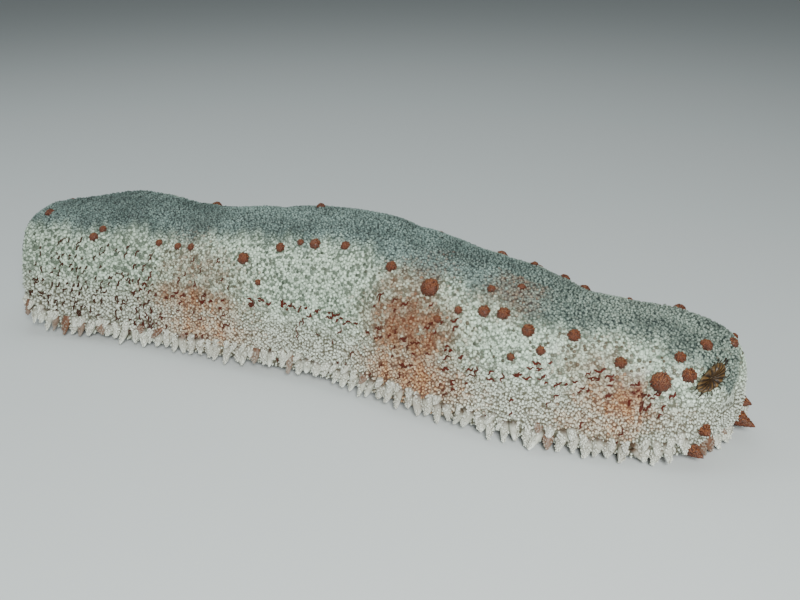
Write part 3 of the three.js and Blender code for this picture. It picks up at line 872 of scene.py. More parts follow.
def joined_copies(
    name: str, scatter: Scatter, material: bpy.types.Material, place: np.ndarray
) -> bpy.types.Object:
    """Join all copies of a pattern in one piece with its colour-keeping UV map.

    Args:
        name: Name of the piece.
        scatter: The copies.
        material: Their finish.
        place: (length, angle) of each copy's root on the body.

    Returns:
        The piece.
    """
    points = scatter.points()
    copies, count = points.shape[:2]
    faces = [
        tuple(index + copy * count for index in face)
        for copy in range(copies) for face in scatter.pattern.faces
    ]
    piece = mesh_piece(name, points, faces, material)
    store(piece, "tip", np.tile(scatter.pattern.tip, copies))
    unwrapped = np.stack([place[:, 0] / FORM.body_length, (place[:, 1] / ROUND) % 1.0], -1)
    centre = 0.04 + 0.92 * unwrapped
    patch = 0.0014 * scatter.pattern.points[:, :2]
    spread = (centre[:, None, :] + patch[None, :, :]).reshape(-1, 2)
    layer = piece.data.uv_layers.new(name="OFBake")
    corner = np.zeros(len(piece.data.loops), dtype=np.int32)
    piece.data.loops.foreach_get("vertex_index", corner)
    layer.data.foreach_set("uv", spread[corner].astype(np.float32).ravel())
    return piece


def ring_faces(first: int, second: int, count: int) -> list[tuple]:
    """Faces between two rings of points, from the number of the first point of each."""
    following = [(index + 1) % count for index in range(count)]
    return [(first + a, first + b, second + b, second + a) for a, b in enumerate(following)]


def mark_copies(
    piece: bpy.types.Object, place: np.ndarray, count: int, random: np.random.Generator, specked: float
) -> None:
    """Store the body's markings and the granules' painted shade on every copy from its root's place.

    Args:
        piece: Piece made of copies.
        place: (length, angle) of each copy.
        count: Points in one copy.
        random: Seeded draw.
        specked: How strongly the tops of the upper flank are specked.
    """
    length, angle = place[:, 0], place[:, 1]
    low = MARKS.lower(length, angle)
    blotch = MARKS.blotch(length, angle)
    scattered = np.clip(blotch * 1.15 + random.normal(0.0, 0.16, len(place)) * (blotch > 0.04), 0.0, 1.0)
    upper = (1.0 - low) * (1.0 - 0.75 * MARKS.back(length, angle)) * (1.0 - 0.5 * blotch)
    beside_vent = 1.0 - smooth_step(VENT.radius, VENT.radius + 10.0, VENT.away(FORM.skin(length, angle)))
    chosen = random.random(len(place)) < 0.30
    speck = np.clip(specked * upper + beside_vent, 0.0, 1.0) * chosen * random.uniform(0.8, 1.0, len(place))
    warm = smooth_step(400.0, 540.0, length) + 1.4 * blotch + beside_vent
    warm = np.clip(warm + random.uniform(-0.2, 0.3, len(place)), 0.0, 1.0)
    # tint: random tone of each granule, plus painted shade near the head, where it darkens the granules
    # towards the recess colour.
    marks = {
        "blotch": scattered, "back": MARKS.back(length, angle), "low": low, "speck": speck, "warm": warm,
        "tint": np.clip(random.random(len(place)) ** 2 + 0.3 * MARKS.head_end(length), 0.0, 1.0),
    }
    for name, values in marks.items():
        store(piece, name, np.repeat(values, count))


@dataclass(frozen=True)
class VentPlace:
    """Where the vent lies on the tail end, and the skin round it."""

    back: float = 4.0
    degrees: float = 60.0
    radius: float = 10.5
    narrow: float = 0.62
    stretch: float = 1.34
    slit_turn: float = math.radians(24.0)
    bowl: float = 6.0

    def start(self) -> tuple[np.ndarray, np.ndarray]:
        """Length and angle of the vent's middle."""
        return np.array(FORM.body_length - self.back), np.array(math.radians(self.degrees))

    def centre(self) -> np.ndarray:
        """Middle of the vent on the plain skin."""
        return FORM.skin(*self.start())

    def direction(self) -> np.ndarray:
        """Direction that the vent faces."""
        length, angle = self.start()
        _, near = FORM.axis(length)
        return unit(FORM.normal(length, angle) + np.array([-near[1], near[0], 0.0]))

    def axes(self) -> tuple[np.ndarray, np.ndarray]:
        """Level and upward directions across the vent."""
        out = self.direction()
        side = unit(np.cross(out, UP))
        return side, np.cross(side, out)

    def away(self, points: np.ndarray) -> np.ndarray:
        """Distance from the vent's middle, measured in steps of its oval outline."""
        offset = points - self.centre()
        side, up = self.axes()
        near = np.linalg.norm(offset, axis=-1) < 3 * self.radius
        cosine, sine = math.cos(self.slit_turn), math.sin(self.slit_turn)
        along = -(offset @ side) * cosine + (offset @ up) * sine
        across = (offset @ side) * sine + (offset @ up) * cosine
        return np.where(near, np.hypot(along / self.stretch, across / self.narrow), 1e3)

    def oval(self, radius: np.ndarray, turn: np.ndarray) -> tuple[np.ndarray, np.ndarray]:
        """Level and upward offsets of places round the oval, its long way up along the slit."""
        along, across = radius * np.cos(turn) * self.stretch, radius * np.sin(turn) * self.narrow
        cosine, sine = math.cos(self.slit_turn), math.sin(self.slit_turn)
        return across * sine - along * cosine, along * sine + across * cosine

    def on_skin(self, across: np.ndarray, upward: np.ndarray) -> tuple[np.ndarray, np.ndarray]:
        """Find the skin under places on the vent's face.

        Args:
            across: Level offsets from the middle.
            upward: Upward offsets from the middle.

        Returns:
            Length and angle of each place.
        """
        side, up = self.axes()
        centre = self.centre()
        tried = np.linspace(0.12, 5.6, 110), np.radians(np.arange(-40.0, 200.0, 1.5))
        roots, turns = np.meshgrid(*tried, indexing="ij")
        cloud = FORM.skin(FORM.body_length - roots**2, turns) - centre
        flat = np.stack([cloud @ side, cloud @ up], -1).reshape(-1, 2)
        facing = (FORM.normal(FORM.body_length - roots**2, turns) @ self.direction()).ravel() > -0.2
        flat[~facing] = 1e3
        goals = np.stack([across.ravel(), upward.ravel()], -1)
        nearest = np.array([int(np.argmin(((flat - goal) ** 2).sum(1))) for goal in goals])
        root, turn = roots.ravel()[nearest], turns.ravel()[nearest]
        for _ in range(6):
            here = FORM.skin(FORM.body_length - root**2, turn) - centre
            miss = goals - np.stack([here @ side, here @ up], -1)
            by_root = (FORM.skin(FORM.body_length - (root + 0.01) ** 2, turn) - centre - here) / 0.01
            by_turn = (FORM.skin(FORM.body_length - root**2, turn + 0.002) - centre - here) / 0.002
            a, b, c, d = by_root @ side, by_turn @ side, by_root @ up, by_turn @ up
            scale = a * d - b * c
            scale = np.where(np.abs(scale) < 1.0, np.copysign(1.0, scale), scale)
            root = np.clip(root + np.clip((d * miss[:, 0] - b * miss[:, 1]) / scale, -0.15, 0.15), 0.1, 5.8)
            turn = turn + np.clip((a * miss[:, 1] - c * miss[:, 0]) / scale, -0.05, 0.05)
        return (FORM.body_length - root**2).reshape(across.shape), turn.reshape(across.shape)


VENT = VentPlace()


@dataclass(frozen=True)
class Wart:
    """One wart or cone: length from the head tip, turn round the body and size."""

    length: float
    degrees: float
    radius: float
    height: float
    cone: bool = False
    drop: float = 0.22

    def place(self) -> tuple[np.ndarray, np.ndarray]:
        """Length and angle as arrays."""
        return np.array(self.length), np.array(math.radians(self.degrees))

    def root(self) -> np.ndarray:
        """Middle of the wart on the plain skin."""
        return FORM.skin(*self.place())

    def out(self) -> np.ndarray:
        """Direction that it stands in: cones lean level and drop a little."""
        normal = FORM.normal(*self.place())
        if not self.cone:
            return normal
        return unit(unit(normal * LEVEL) - UP * self.drop)


@dataclass
class WartPlan:
    """All warts: those that the photograph shows and a like row on the hidden flank."""

    near: tuple = (
        (26, 78, 4.4), (83, 47, 4.2), (90, 56, 3.4), (149, 48, 3.3), (168, 46, 3.2), (182, 46, 3.2),
        (232, 38, 5.1), (246, 22, 2.6), (261, 48, 3.9), (280, 54, 2.8), (296, 54, 4.6), (324, 58, 3.8),
        (369, 54, 4.4), (404, 49, 7.1), (416, 29, 3), (429, 40, 3), (446, 46, 4.5), (458, 50, 4.8),
        (474, 44, 4.7), (483, 32, 3.4), (468, 22, 2.9), (501, 52, 4.7), (531, 36, 4.2), (583, 28, 7.1),
        (596, 43, 5.2), (587, 55, 3.9), (592, 84, 4.6), (596, 111, 4), (444, 68, 3), (460, 82, 3),
        (453, 114, 3), (270, 98, 3.6),
    )
    cones: tuple = ((607, -14, 4.8, 7), (602, -62, 5.6, 12), (603, 222, 6, 14), (602, 181, 4, 7))
    height_share: float = 0.72
    far_step: float = 27.0
    seed: int = 41

    def warts(self) -> list[Wart]:
        """Every wart of the body."""
        random = np.random.default_rng(self.seed)
        warts = [Wart(length, turn, wide, wide * self.height_share) for length, turn, wide in self.near]
        warts += [Wart(*row, cone=True) for row in self.cones]
        for step in range(int(FORM.body_length / self.far_step)):
            length = self.far_step * (step + random.uniform(0.2, 0.8))
            wide = random.uniform(3.0, 5.2)
            warts.append(Wart(length, random.uniform(124, 142), wide, wide * self.height_share))
        return warts


WARTS = WartPlan().warts()


def wart_mound(length: np.ndarray, angle: np.ndarray) -> np.ndarray:
    """Height of the skin's low mounds under the warts."""
    points = FORM.skin(length, angle)
    total = np.zeros(points.shape[:-1])
    for wart in WARTS:
        away = np.linalg.norm(points - wart.root(), axis=-1) / (wart.radius * 1.45)
        total = np.maximum(total, 0.25 * wart.radius * np.exp(-(away**2)))
    return total


def ripple(length: np.ndarray, angle: np.ndarray) -> np.ndarray:
    """Soft unevenness of the skin: wrinkles across the head, slow waves and shallow waists."""
    head = MARKS.head_end(length)
    across = np.sin(length * 0.55 + 1.7 * np.sin(angle * 5.0)) * np.sin(angle * 7.0 + length * 0.05)
    slow = np.sin(length * 0.083 + 1.3) * np.sin(angle * 3.0 + 0.6)
    slow = slow + 0.6 * np.sin(length * 0.19) * np.sin(angle * 5.0)
    waist = np.zeros(np.shape(length))
    for place, depth in WAISTS:
        waist = waist - depth * np.exp(-(((length - place) / 9.0) ** 2))
    return 0.7 * head * across + 0.6 * slow + waist


def relief(length: np.ndarray, angle: np.ndarray) -> np.ndarray:
    """All that lifts the skin off the plain form or sinks it, fading out at the ends."""
    depth = np.minimum(length, FORM.body_length - length)
    lift = (ripple(length, angle) + wart_mound(length, angle)) * np.clip(depth / 20.0, 0.0, 1.0)
    away = VENT.away(FORM.skin(length, angle))
    return lift - VENT.bowl * (1.0 - smooth_step(VENT.radius - 4.0, VENT.radius + 2.5, away))


def surface(length: np.ndarray, angle: np.ndarray) -> np.ndarray:
    """Points of the dressed skin, in millimetres, with its sole just off the floor."""
    points = FORM.skin(length, angle) + FORM.normal(length, angle) * relief(length, angle)[..., None]
    points[..., 2] = np.maximum(points[..., 2], SOLE_CLEARANCE)
    return points


@dataclass
class Skin:
    """The one skin that replaces the body's solids."""

    palette: Palette
    rings: int = 400
    around: int = 236
    mouth_back: float = 56.0
    hollow_radius: float = 42.0
    hollow_depth: float = 12.0
    pocket_radius: float = 19.0
    pocket_depth: float = 4.0

    def ring_lengths(self) -> np.ndarray:
        """Lengths of the rings, closer together at both blunt ends."""
        share = np.linspace(0.0, np.pi, self.rings)
        eased = 0.5 * (1 - np.cos(share))
        mixed = 0.72 * np.linspace(0, 1, self.rings) + 0.28 * eased
        ends = np.clip(mixed, 0.0, 1.0) * FORM.body_length
        return np.clip(ends, 0.02, FORM.body_length - 0.02)

    def mouth_hollow(self, points: np.ndarray) -> np.ndarray:
        """Lift the sole over the tentacle ring under the head."""
        place, _ = FORM.axis(np.array(self.mouth_back))
        away = np.hypot(points[..., 0] - place[0], points[..., 1] - place[1])
        wide = self.hollow_depth * (1.0 - smooth_step(self.pocket_radius, self.hollow_radius, away))
        deep = self.pocket_depth * (1.0 - smooth_step(self.pocket_radius - 6, self.pocket_radius, away))
        below = points[..., 2] < 24.0
        points[..., 2] = np.where(below, np.maximum(points[..., 2], wide + deep), points[..., 2])
        return points

    def build(self) -> bpy.types.Object:
        """Wrap a grid round the body form, close its seam and fill both poles.

        Returns:
            The skin.
        """
        deselect_all()
        bpy.ops.mesh.primitive_grid_add(x_subdivisions=self.around, y_subdivisions=self.rings - 1, size=2.0)
        piece = bpy.context.object
        piece.name = piece.data.name = "skin"
        lengths = self.ring_lengths()
        count = len(piece.data.vertices)
        flat = np.zeros(count * 3)
        piece.data.vertices.foreach_get("co", flat)
        flat = flat.reshape(-1, 3)
        column = np.rint((flat[:, 0] + 1) / 2 * self.around).astype(int)
        row = np.rint((flat[:, 1] + 1) / 2 * (self.rings - 1)).astype(int)
        length = lengths[row]
        turns = self.turns()
        angle = turns[column]
        points = self.mouth_hollow(surface(length, angle))
        first = column == self.around
        start = np.zeros((self.rings, 3))
        start[row[column == 0]] = points[column == 0]
        points[first] = start[row[first]]
        piece.data.vertices.foreach_set("co", (points * MM).ravel())
        store(piece, "blotch", MARKS.blotch(length, angle))
        store(piece, "back", MARKS.back(length, angle))
        store(piece, "low", MARKS.lower(length, angle))
        store(piece, "warm", smooth_step(400.0, 540.0, length))
        # Painted shade near the floor, under the fringe and between its papillae.
        store(piece, "painted_edge_shade", 1.0 - smooth_step(11.0, 24.0, points[:, 2]))
        piece.data.materials.append(self.palette.skin)
        bpy.ops.object.mode_set(mode="EDIT")
        bpy.ops.mesh.select_all(action="SELECT")
        bpy.ops.mesh.remove_doubles(threshold=1e-6)
        bpy.ops.mesh.select_all(action="DESELECT")
        bpy.ops.mesh.select_non_manifold()
        bpy.ops.mesh.fill_holes(sides=0)
        bpy.ops.mesh.select_all(action="SELECT")
        bpy.ops.mesh.normals_make_consistent(inside=False)
        bpy.ops.object.mode_set(mode="OBJECT")
        smooth_shade(piece, 60.0)
        return piece

    def turns(self) -> np.ndarray:
        """Angles of the grid's columns, even round a middle section, from the sole up."""
        fine = np.linspace(-np.pi / 2, 1.5 * np.pi, 1441)
        points = FORM.skin(np.full(fine.shape, FORM.body_length / 2), fine)
        steps = np.linalg.norm(np.diff(points, axis=0), axis=1)
        on_sole = (points[1:, 2] < 1) & (points[:-1, 2] < 1)
        travelled = np.concatenate([[0.0], np.cumsum(np.where(on_sole, 0.4, 1.0) * steps)])
        return np.interp(np.linspace(0, travelled[-1], self.around + 1), travelled, fine)


@dataclass
class GranuleCoat:
    """Granules that cover the skin, in one piece for each length of the body."""

    palette: Palette
    strokes: list
    flank_spacing: float = 3.0
    head_spacing: float = 3.8
    back_spacing: float = 2.65
    row_share: float = 0.87
    uneven: float = 0.17
    back_uneven: float = 0.27
    crease_gap: float = 1.35
    lip_reach: float = 34.0
    seed: int = 11

    def row_lengths(self, start: float, stop: float, spacing: float, band: Band) -> np.ndarray:
        """Lengths of the rows at even distances on the skin, also round the blunt ends.

        Args:
            start: First length.
            stop: Last length.
            spacing: Distance between granules in a row.
            band: The band; the distances are measured along its middle.

        Returns:
            One length for each row.
        """
        fine = np.concatenate([
            np.linspace(0.25, 5.5, 400) ** 2, np.linspace(31.0, FORM.body_length - 31.0, 1200),
            FORM.body_length - np.linspace(5.5, 0.25, 400) ** 2,
        ])
        path = FORM.skin(fine, np.full(fine.shape, math.radians(sum(band.value) / 2)))
        travelled = np.concatenate([[0.0], np.cumsum(np.linalg.norm(np.diff(path, axis=0), axis=1))])
        first, last = np.interp([start, stop], fine, travelled)
        count = max(int((last - first) / (spacing * self.row_share)), 1)
        return np.interp(first + (np.arange(count) + 0.5) * (last - first) / count, travelled, fine)

    def places(self, start: float, stop: float, random: np.random.Generator) -> np.ndarray:
        """Staggered, uneven places on one length of the body, none of them on the sole.

        Args:
            start: First length.
            stop: Last length.
            random: Seeded draw.

        Returns:
            Rows of (length, angle).
        """
        found = []
        for band in Band:
            first, last = start, stop
            if band is Band.LIPS:
                first = max(start, FORM.body_length - self.lip_reach) if start > 1.0 else start
                last = min(stop, self.lip_reach) if start < 1.0 else stop
            if first >= last:
                continue
            on_back = band is Band.BACK
            spacing = self.back_spacing if on_back else self.flank_spacing
            uneven = self.back_uneven if on_back else self.uneven
            if stop <= PARTINGS[0] and not on_back:
                spacing = self.head_spacing
            for index, length in enumerate(self.row_lengths(first, last, spacing, band)):
                turns = FORM.evenly_round(
                    length, spacing, band.value, 0.5 * (index % 2),
                    lambda count: random.normal(0, uneven, count),
                )
                depth = min(length, FORM.body_length - length)
                slide = random.normal(0.0, uneven * spacing, len(turns)) * min(depth / 12.0, 1.0)
                found.append(np.stack([np.clip(length + slide, 0.1, FORM.body_length - 0.1), turns], -1))
        place = np.concatenate(found)
        return place[FORM.normal(place[:, 0], place[:, 1])[:, 2] > -0.6]

    def clear_of(self, place: np.ndarray, creases: KDTree) -> np.ndarray:
        """True where a granule is clear of the warts, the vent and the creases."""
        roots = FORM.skin(place[:, 0], place[:, 1])
        keep = VENT.away(roots) > VENT.radius * (0.78 + 0.16 * np.sin(5.0 * roots[:, 2]) ** 2)
        for wart in WARTS:
            keep &= np.linalg.norm(roots - wart.root(), axis=1) > wart.radius * 0.92
        nearest = np.array([creases.find(root)[2] for root in roots])
        return keep & (nearest > self.crease_gap)

    def sizes(self, place: np.ndarray, random: np.random.Generator) -> tuple[np.ndarray, np.ndarray]:
        """Radius and height of each granule from the region that it is in."""
        lower = MARKS.lower(place[:, 0], place[:, 1])
        head = MARKS.head_end(place[:, 0])
        back = MARKS.back(place[:, 0], place[:, 1])
        varied = random.uniform(0.82, 1.18, (2, len(place)))
        radius = (1.50 + 0.05 * lower + 0.45 * head * (1 - back) - 0.17 * back) * varied[0]
        height = (0.95 + 0.90 * lower + 0.65 * head * (1 - back) + 0.15 * back) * varied[1]
        big = random.random(len(place)) < 0.04
        height = np.where(big, height * 1.5, height)
        return radius, height

    def crease_tree(self) -> KDTree:
        """Points of all creases, for leaving them clear."""
        spots = np.concatenate([FORM.skin(length, angle) for length, angle, _ in self.strokes])
        tree = KDTree(len(spots))
        for index, spot in enumerate(spots):
            tree.insert(spot, index)
        tree.balance()
        return tree

    def build(self) -> list[bpy.types.Object]:
        """Make the coat, one piece between each two partings.

        Returns:
            The pieces.
        """
        dome = model_spire(6, DOME)
        peak = model_spire(6, PEAK)
        random = np.random.default_rng(self.seed)
        creases = self.crease_tree()
        marks = (0.3, *PARTINGS, FORM.body_length - 0.3)
        pieces = []
        for index, name in enumerate(FLESH_NODES):
            place = self.places(marks[index], marks[index + 1], random)
            place = place[self.clear_of(place, creases)]
            pointed = MARKS.lower(place[:, 0], place[:, 1]) + random.normal(0.0, 0.12, len(place)) > 0.45
            pieces.append(self.scattered(f"granules_{name}", dome, place[~pointed], random))
            pieces.append(self.scattered(f"points_{name}", peak, place[pointed], random))
        return pieces

    def scattered(
        self, name: str, pattern: Pattern, place: np.ndarray, random: np.random.Generator
    ) -> bpy.types.Object:
        """Stand copies of a granule on the skin, drooping a little low on the flank.

        Args:
            name: Name of the piece.
            pattern: The modelled granule.
            place: (length, angle) of each copy.
            random: Seeded draw.

        Returns:
            The piece.
        """
        normals = FORM.normal(place[:, 0], place[:, 1])
        roots = surface(place[:, 0], place[:, 1]) - 0.4 * normals
        radius, height = self.sizes(place, random)
        droop = 0.3 * MARKS.lower(place[:, 0], place[:, 1])
        lean = random.normal(0.0, 0.10, normals.shape) - droop[:, None] * UP
        scatter = Scatter(
            pattern, roots, unit(normals + lean), radius, height + 0.4,
            random.uniform(0, ROUND, len(place)), flatness=random.uniform(0.78, 1.0, len(place)),
        )
        piece = joined_copies(name, scatter, self.palette.coat, place)
        mark_copies(piece, place, len(pattern.points), random, specked=1.1)
        smooth_shade(piece, 70.0)
        return piece


@dataclass
class WartCoat:
    """Orange-brown warts and cones, each a mound beset with coarse grains."""

    palette: Palette
    grain: float = 0.86
    seed: int = 23

    def build(self) -> list[bpy.types.Object]:
        """Make the mounds and the grains on them.

        Returns:
            The pieces.
        """
        random = np.random.default_rng(self.seed)
        mound = model_spire(14, MOUND)
        cone = model_spire(12, CONE)
        # The mounds' tip shares are cut, so they show the dark foot colours: painted shade between the
        # grains.
        mound.tip *= 0.4
        cone.tip *= 0.4
        low = [wart for wart in WARTS if not wart.cone]
        tall = [wart for wart in WARTS if wart.cone]
        pieces = [
            self.mounds("wart_mounds", mound, low, random),
            self.mounds("tail_cones", cone, tall, random),
            self.grains(random),
        ]
        for piece in pieces:
            smooth_shade(piece, 75.0)
        return pieces

    def mounds(
        self, name: str, pattern: Pattern, warts: list[Wart], random: np.random.Generator
    ) -> bpy.types.Object:
        """Stand a copy of a mound at each wart's place.

        Args:
            name: Name of the piece.
            pattern: The modelled mound.
            warts: The warts that it stands for.
            random: Seeded draw.

        Returns:
            The piece.
        """
        place = np.array([(wart.length, math.radians(wart.degrees)) for wart in warts])
        out = np.array([wart.out() for wart in warts])
        radius = np.array([wart.radius for wart in warts]) * 0.93
        height = np.array([wart.height for wart in warts]) * 0.92
        sink = np.where([wart.cone for wart in warts], 4.0, 0.3 * radius)
        roots = surface(place[:, 0], place[:, 1]) - out * sink[:, None]
        scatter = Scatter(
            pattern, roots, out, radius, height + sink, random.uniform(0, ROUND, len(warts)),
            flatness=random.uniform(0.78, 1.0, len(warts)),
        )
        return joined_copies(name, scatter, self.palette.wart, place)

    def grains(self, random: np.random.Generator) -> bpy.types.Object:
        """Coarse grains all over the warts, darker towards their lower edge as painted shade."""
        pattern = model_spire(5, WART_GRAIN)
        roots, normals, place, radii, shares = [], [], [], [], []
        for wart in WARTS:
            length, angle = wart.place()
            out = wart.out()
            side = unit(np.cross(out, UP if abs(out[2]) < 0.9 else BESIDE))
            up = np.cross(out, side)
            centre = surface(length[None], angle[None])[0]
            count = int(16 + 3.4 * wart.radius**2 + 9.0 * wart.height * wart.cone)
            for index in range(count):
                share = math.sqrt((index + 0.5) / count)
                turn = index * 2.39996 + random.uniform(-0.25, 0.25)
                flat = side * math.cos(turn) + up * math.sin(turn)
                rise = (1 - share**2.4) if not wart.cone else (1 - share) * 0.95
                lift = out * (wart.height * rise * 0.94 - 0.35)
                roots.append(centre + flat * share * wart.radius * 0.90 + lift)
                normals.append(unit(out * (0.5 + rise * (not wart.cone)) + flat * (share + 0.2)))
                radii.append(self.grain * random.uniform(0.75, 1.25) * (0.58 + 0.055 * wart.radius))
                # Share of the light colour: lower on the wart's lower side and near its edge, as painted
                # shade.
                shares.append(min(1.0, 0.72 + 0.5 * flat[2] * share + 0.2 * (1 - share)))
                place.append((wart.length + share, math.radians(wart.degrees)))
        wide = np.array(radii)
        tall = wide * random.uniform(0.9, 1.5, len(wide))
        scatter = Scatter(
            pattern, np.array(roots), np.array(normals), wide, tall,
            random.uniform(0, ROUND, len(wide)),
        )
        piece = joined_copies("wart_grains", scatter, self.palette.wart, np.array(place))
        shaded = np.outer(np.array(shares) * random.uniform(0.75, 1.0, len(wide)), pattern.tip)
        piece.data.attributes["tip"].data.foreach_set("value", shaded.astype(np.float32).ravel())
        return piece


@dataclass(frozen=True)
class Row:
    """Sizes of one row of the fringe: lengths, radii, how far up it stands and its most drop."""

    tall: tuple
    wide: tuple
    raised: float
    most_drop: float


@dataclass
class Fringe:
    """Pointed papillae round the margin of the sole, in two staggered rows."""

    palette: Palette
    step: float = 8.2
    edge: float = math.radians(-9.0)
    lip: float = math.radians(25.0)
    head_lip: float = 12.0
    tail_lip: float = 8.0
    grains_each: int = 20
    seed: int = 5

    def line(self, place_at: Callable[[np.ndarray], tuple[np.ndarray, np.ndarray]]) -> np.ndarray:
        """Even places along a line on the skin.

        Args:
            place_at: Gives (length, angle) from a share of the line.

        Returns:
            Rows of (length, angle).
        """
        share = np.linspace(0.0, 1.0, 900)
        length, angle = place_at(share)
        points = FORM.skin(length, angle)
        travelled = np.concatenate([[0.0], np.cumsum(np.linalg.norm(np.diff(points, axis=0), axis=1))])
        goals = np.arange(self.step / 2, travelled[-1], self.step)
        at = np.interp(goals, travelled, share)
        return np.stack(place_at(at), -1)

    def places(self) -> np.ndarray:
        """Places round the whole margin: both sides and both lips."""
        stop = FORM.body_length - self.tail_lip
        span = stop - self.head_lip
        half_turn = np.pi - 2 * self.lip

        def flank(share: np.ndarray, angle: float) -> tuple[np.ndarray, np.ndarray]:
            """Line along one side."""
            return self.head_lip + span * share, np.full(share.shape, angle)

        def end_lip(share: np.ndarray, length: float) -> tuple[np.ndarray, np.ndarray]:
            """Line round one end."""
            return np.full(share.shape, length), -self.lip - half_turn * share

        return np.concatenate([
            self.line(lambda share: flank(share, self.edge)),
            self.line(lambda share: flank(share, np.pi - self.edge)),
            self.line(lambda share: end_lip(share, self.head_lip)),
            self.line(lambda share: end_lip(share, stop)),
        ])

    def build(self) -> list[bpy.types.Object]:
        """Make the row of broad papillae, the short row above it and the grains on both.

        Returns:
            The pieces.
        """
        random = np.random.default_rng(self.seed)
        leaf = model_spire(9, LEAF)
        return [
            *self.row(leaf, random, "fringe_papillae", Row((8.0, 13.5), (3.3, 5.3), 0.0, 0.9)),
            *self.row(leaf, random, "fringe_upper_row", Row((3.5, 7.5), (2.2, 3.9), 3.4, 0.6)),
        ]

    def row(
        self, pattern: Pattern, random: np.random.Generator, name: str, row: Row
    ) -> tuple[bpy.types.Object, bpy.types.Object]:
        """One row of papillae that lean out and hang down, short of the floor.

        Args:
            pattern: The modelled papilla.
            random: Seeded draw.
            name: Name of the piece.
            row: Sizes of the row.

        Returns:
            The papillae and the grains on them.
        """
        place = self.places()
        shifted = place[:, 0] + random.uniform(-1.6, 1.6, len(place))
        place[:, 0] = np.clip(shifted, 2.0, FORM.body_length - 2.0)
        middle = FORM.skin(place[:, 0], place[:, 1])
        for wart in WARTS:
            if wart.cone:
                clear = np.linalg.norm(middle - wart.root(), axis=1) > wart.radius + 1.5
                place, middle = place[clear], middle[clear]
        count = len(place)
        height, radius = random.uniform(*row.tall, count), random.uniform(*row.wide, count)
        roots = surface(place[:, 0], place[:, 1])
        level = FORM.normal(place[:, 0], place[:, 1]) * LEVEL
        level = unit(unit(level) + random.normal(0.0, 0.28, level.shape) * LEVEL)
        roots[:, 2] += row.raised + random.uniform(-1.6, 1.6, count)
        tip_height = random.uniform(1.0, 4.0, count)
        drop = np.minimum(roots[:, 2] - tip_height, height * row.most_drop)
        drop = np.maximum(drop, 0.1 * height)
        out = level * np.sqrt(height**2 - drop**2)[:, None]
        out[:, 2] = -drop
        out = unit(out)
        scatter = Scatter(
            pattern, roots - out * 3.5, out, radius, height + 3.5, random.normal(0.0, 0.3, count),
            flatness=random.uniform(0.55, 0.8, count),
        )
        papillae = joined_copies(name, scatter, self.palette.fringe, place)
        brown = np.where(random.random(count) < 0.055, random.uniform(0.7, 1.0, count), 0.0)
        near_tail = smooth_step(590.0, 604.0, place[:, 0]) * (random.random(count) < 0.25)
        blotched = 0.3 * MARKS.blotch(place[:, 0], place[:, 1] + 0.2)
        tint = np.clip(brown + near_tail + blotched, 0, 1)
        store(papillae, "brown", np.repeat(tint, len(pattern.points)))
        smooth_shade(papillae, 75.0)
        return papillae, self.grains(scatter, place, tint, random, f"{name}_grains")

    def grains(
        self, leaves: Scatter, place: np.ndarray, tint: np.ndarray, random: np.random.Generator, name: str
    ) -> bpy.types.Object:
        """Small pale grains over the outer face of every papilla.

        Args:
            leaves: The papillae.
            place: Their places on the body.
            tint: Their share of brown.
            random: Seeded draw.
            name: Name of the piece.

        Returns:
            The grains, as one piece.
        """
        pattern = model_spire(5, LEAF_GRAIN)
        first, second = leaves.frames()
        second = np.where(second[:, 2:3] < 0, -second, second)
        each = self.grains_each
        owner = np.repeat(np.arange(len(place)), each)
        along = np.tile((np.arange(each) + 0.5) / each, len(place)) * 0.72 + 0.24
        across = random.uniform(-0.85, 0.85, len(owner))
        steps, widths = zip((0.0, 1.0), *LEAF)
        wide = np.interp(along, steps, widths) * leaves.radii[owner]
        thick = np.sqrt(1 - across**2) * wide * leaves.flatness[owner]
        roots = (
            leaves.roots[owner] + leaves.normals[owner] * (along * leaves.heights[owner])[:, None]
            + first[owner] * (across * wide)[:, None] + second[owner] * (thick - 0.25)[:, None]
        )
        outward = unit(
            first[owner] * across[:, None] + second[owner] * np.sqrt(1 - across**2)[:, None]
            + 0.35 * leaves.normals[owner]
        )
        size = random.uniform(0.75, 1.3, len(owner)) * (1.15 - 0.45 * along)
        scatter = Scatter(pattern, roots, outward, size, size * 1.5, random.uniform(0, 6, len(owner)))
        piece = joined_copies(name, scatter, self.palette.fringe, place[owner])
        store(piece, "brown", np.repeat(tint[owner] * 0.8, len(pattern.points)))
        smooth_shade(piece, 70.0)
        return piece


LEVEL_TURNS = np.radians(np.linspace(-20.0, 70.0, 260))


@dataclass(frozen=True)
class CreaseBand:
    """Stretch of both flanks with creases: its reach, their number, slope and half width."""

    start: float
    stop: float
    low: float
    high: float
    count: int
    lean: float
    half: float


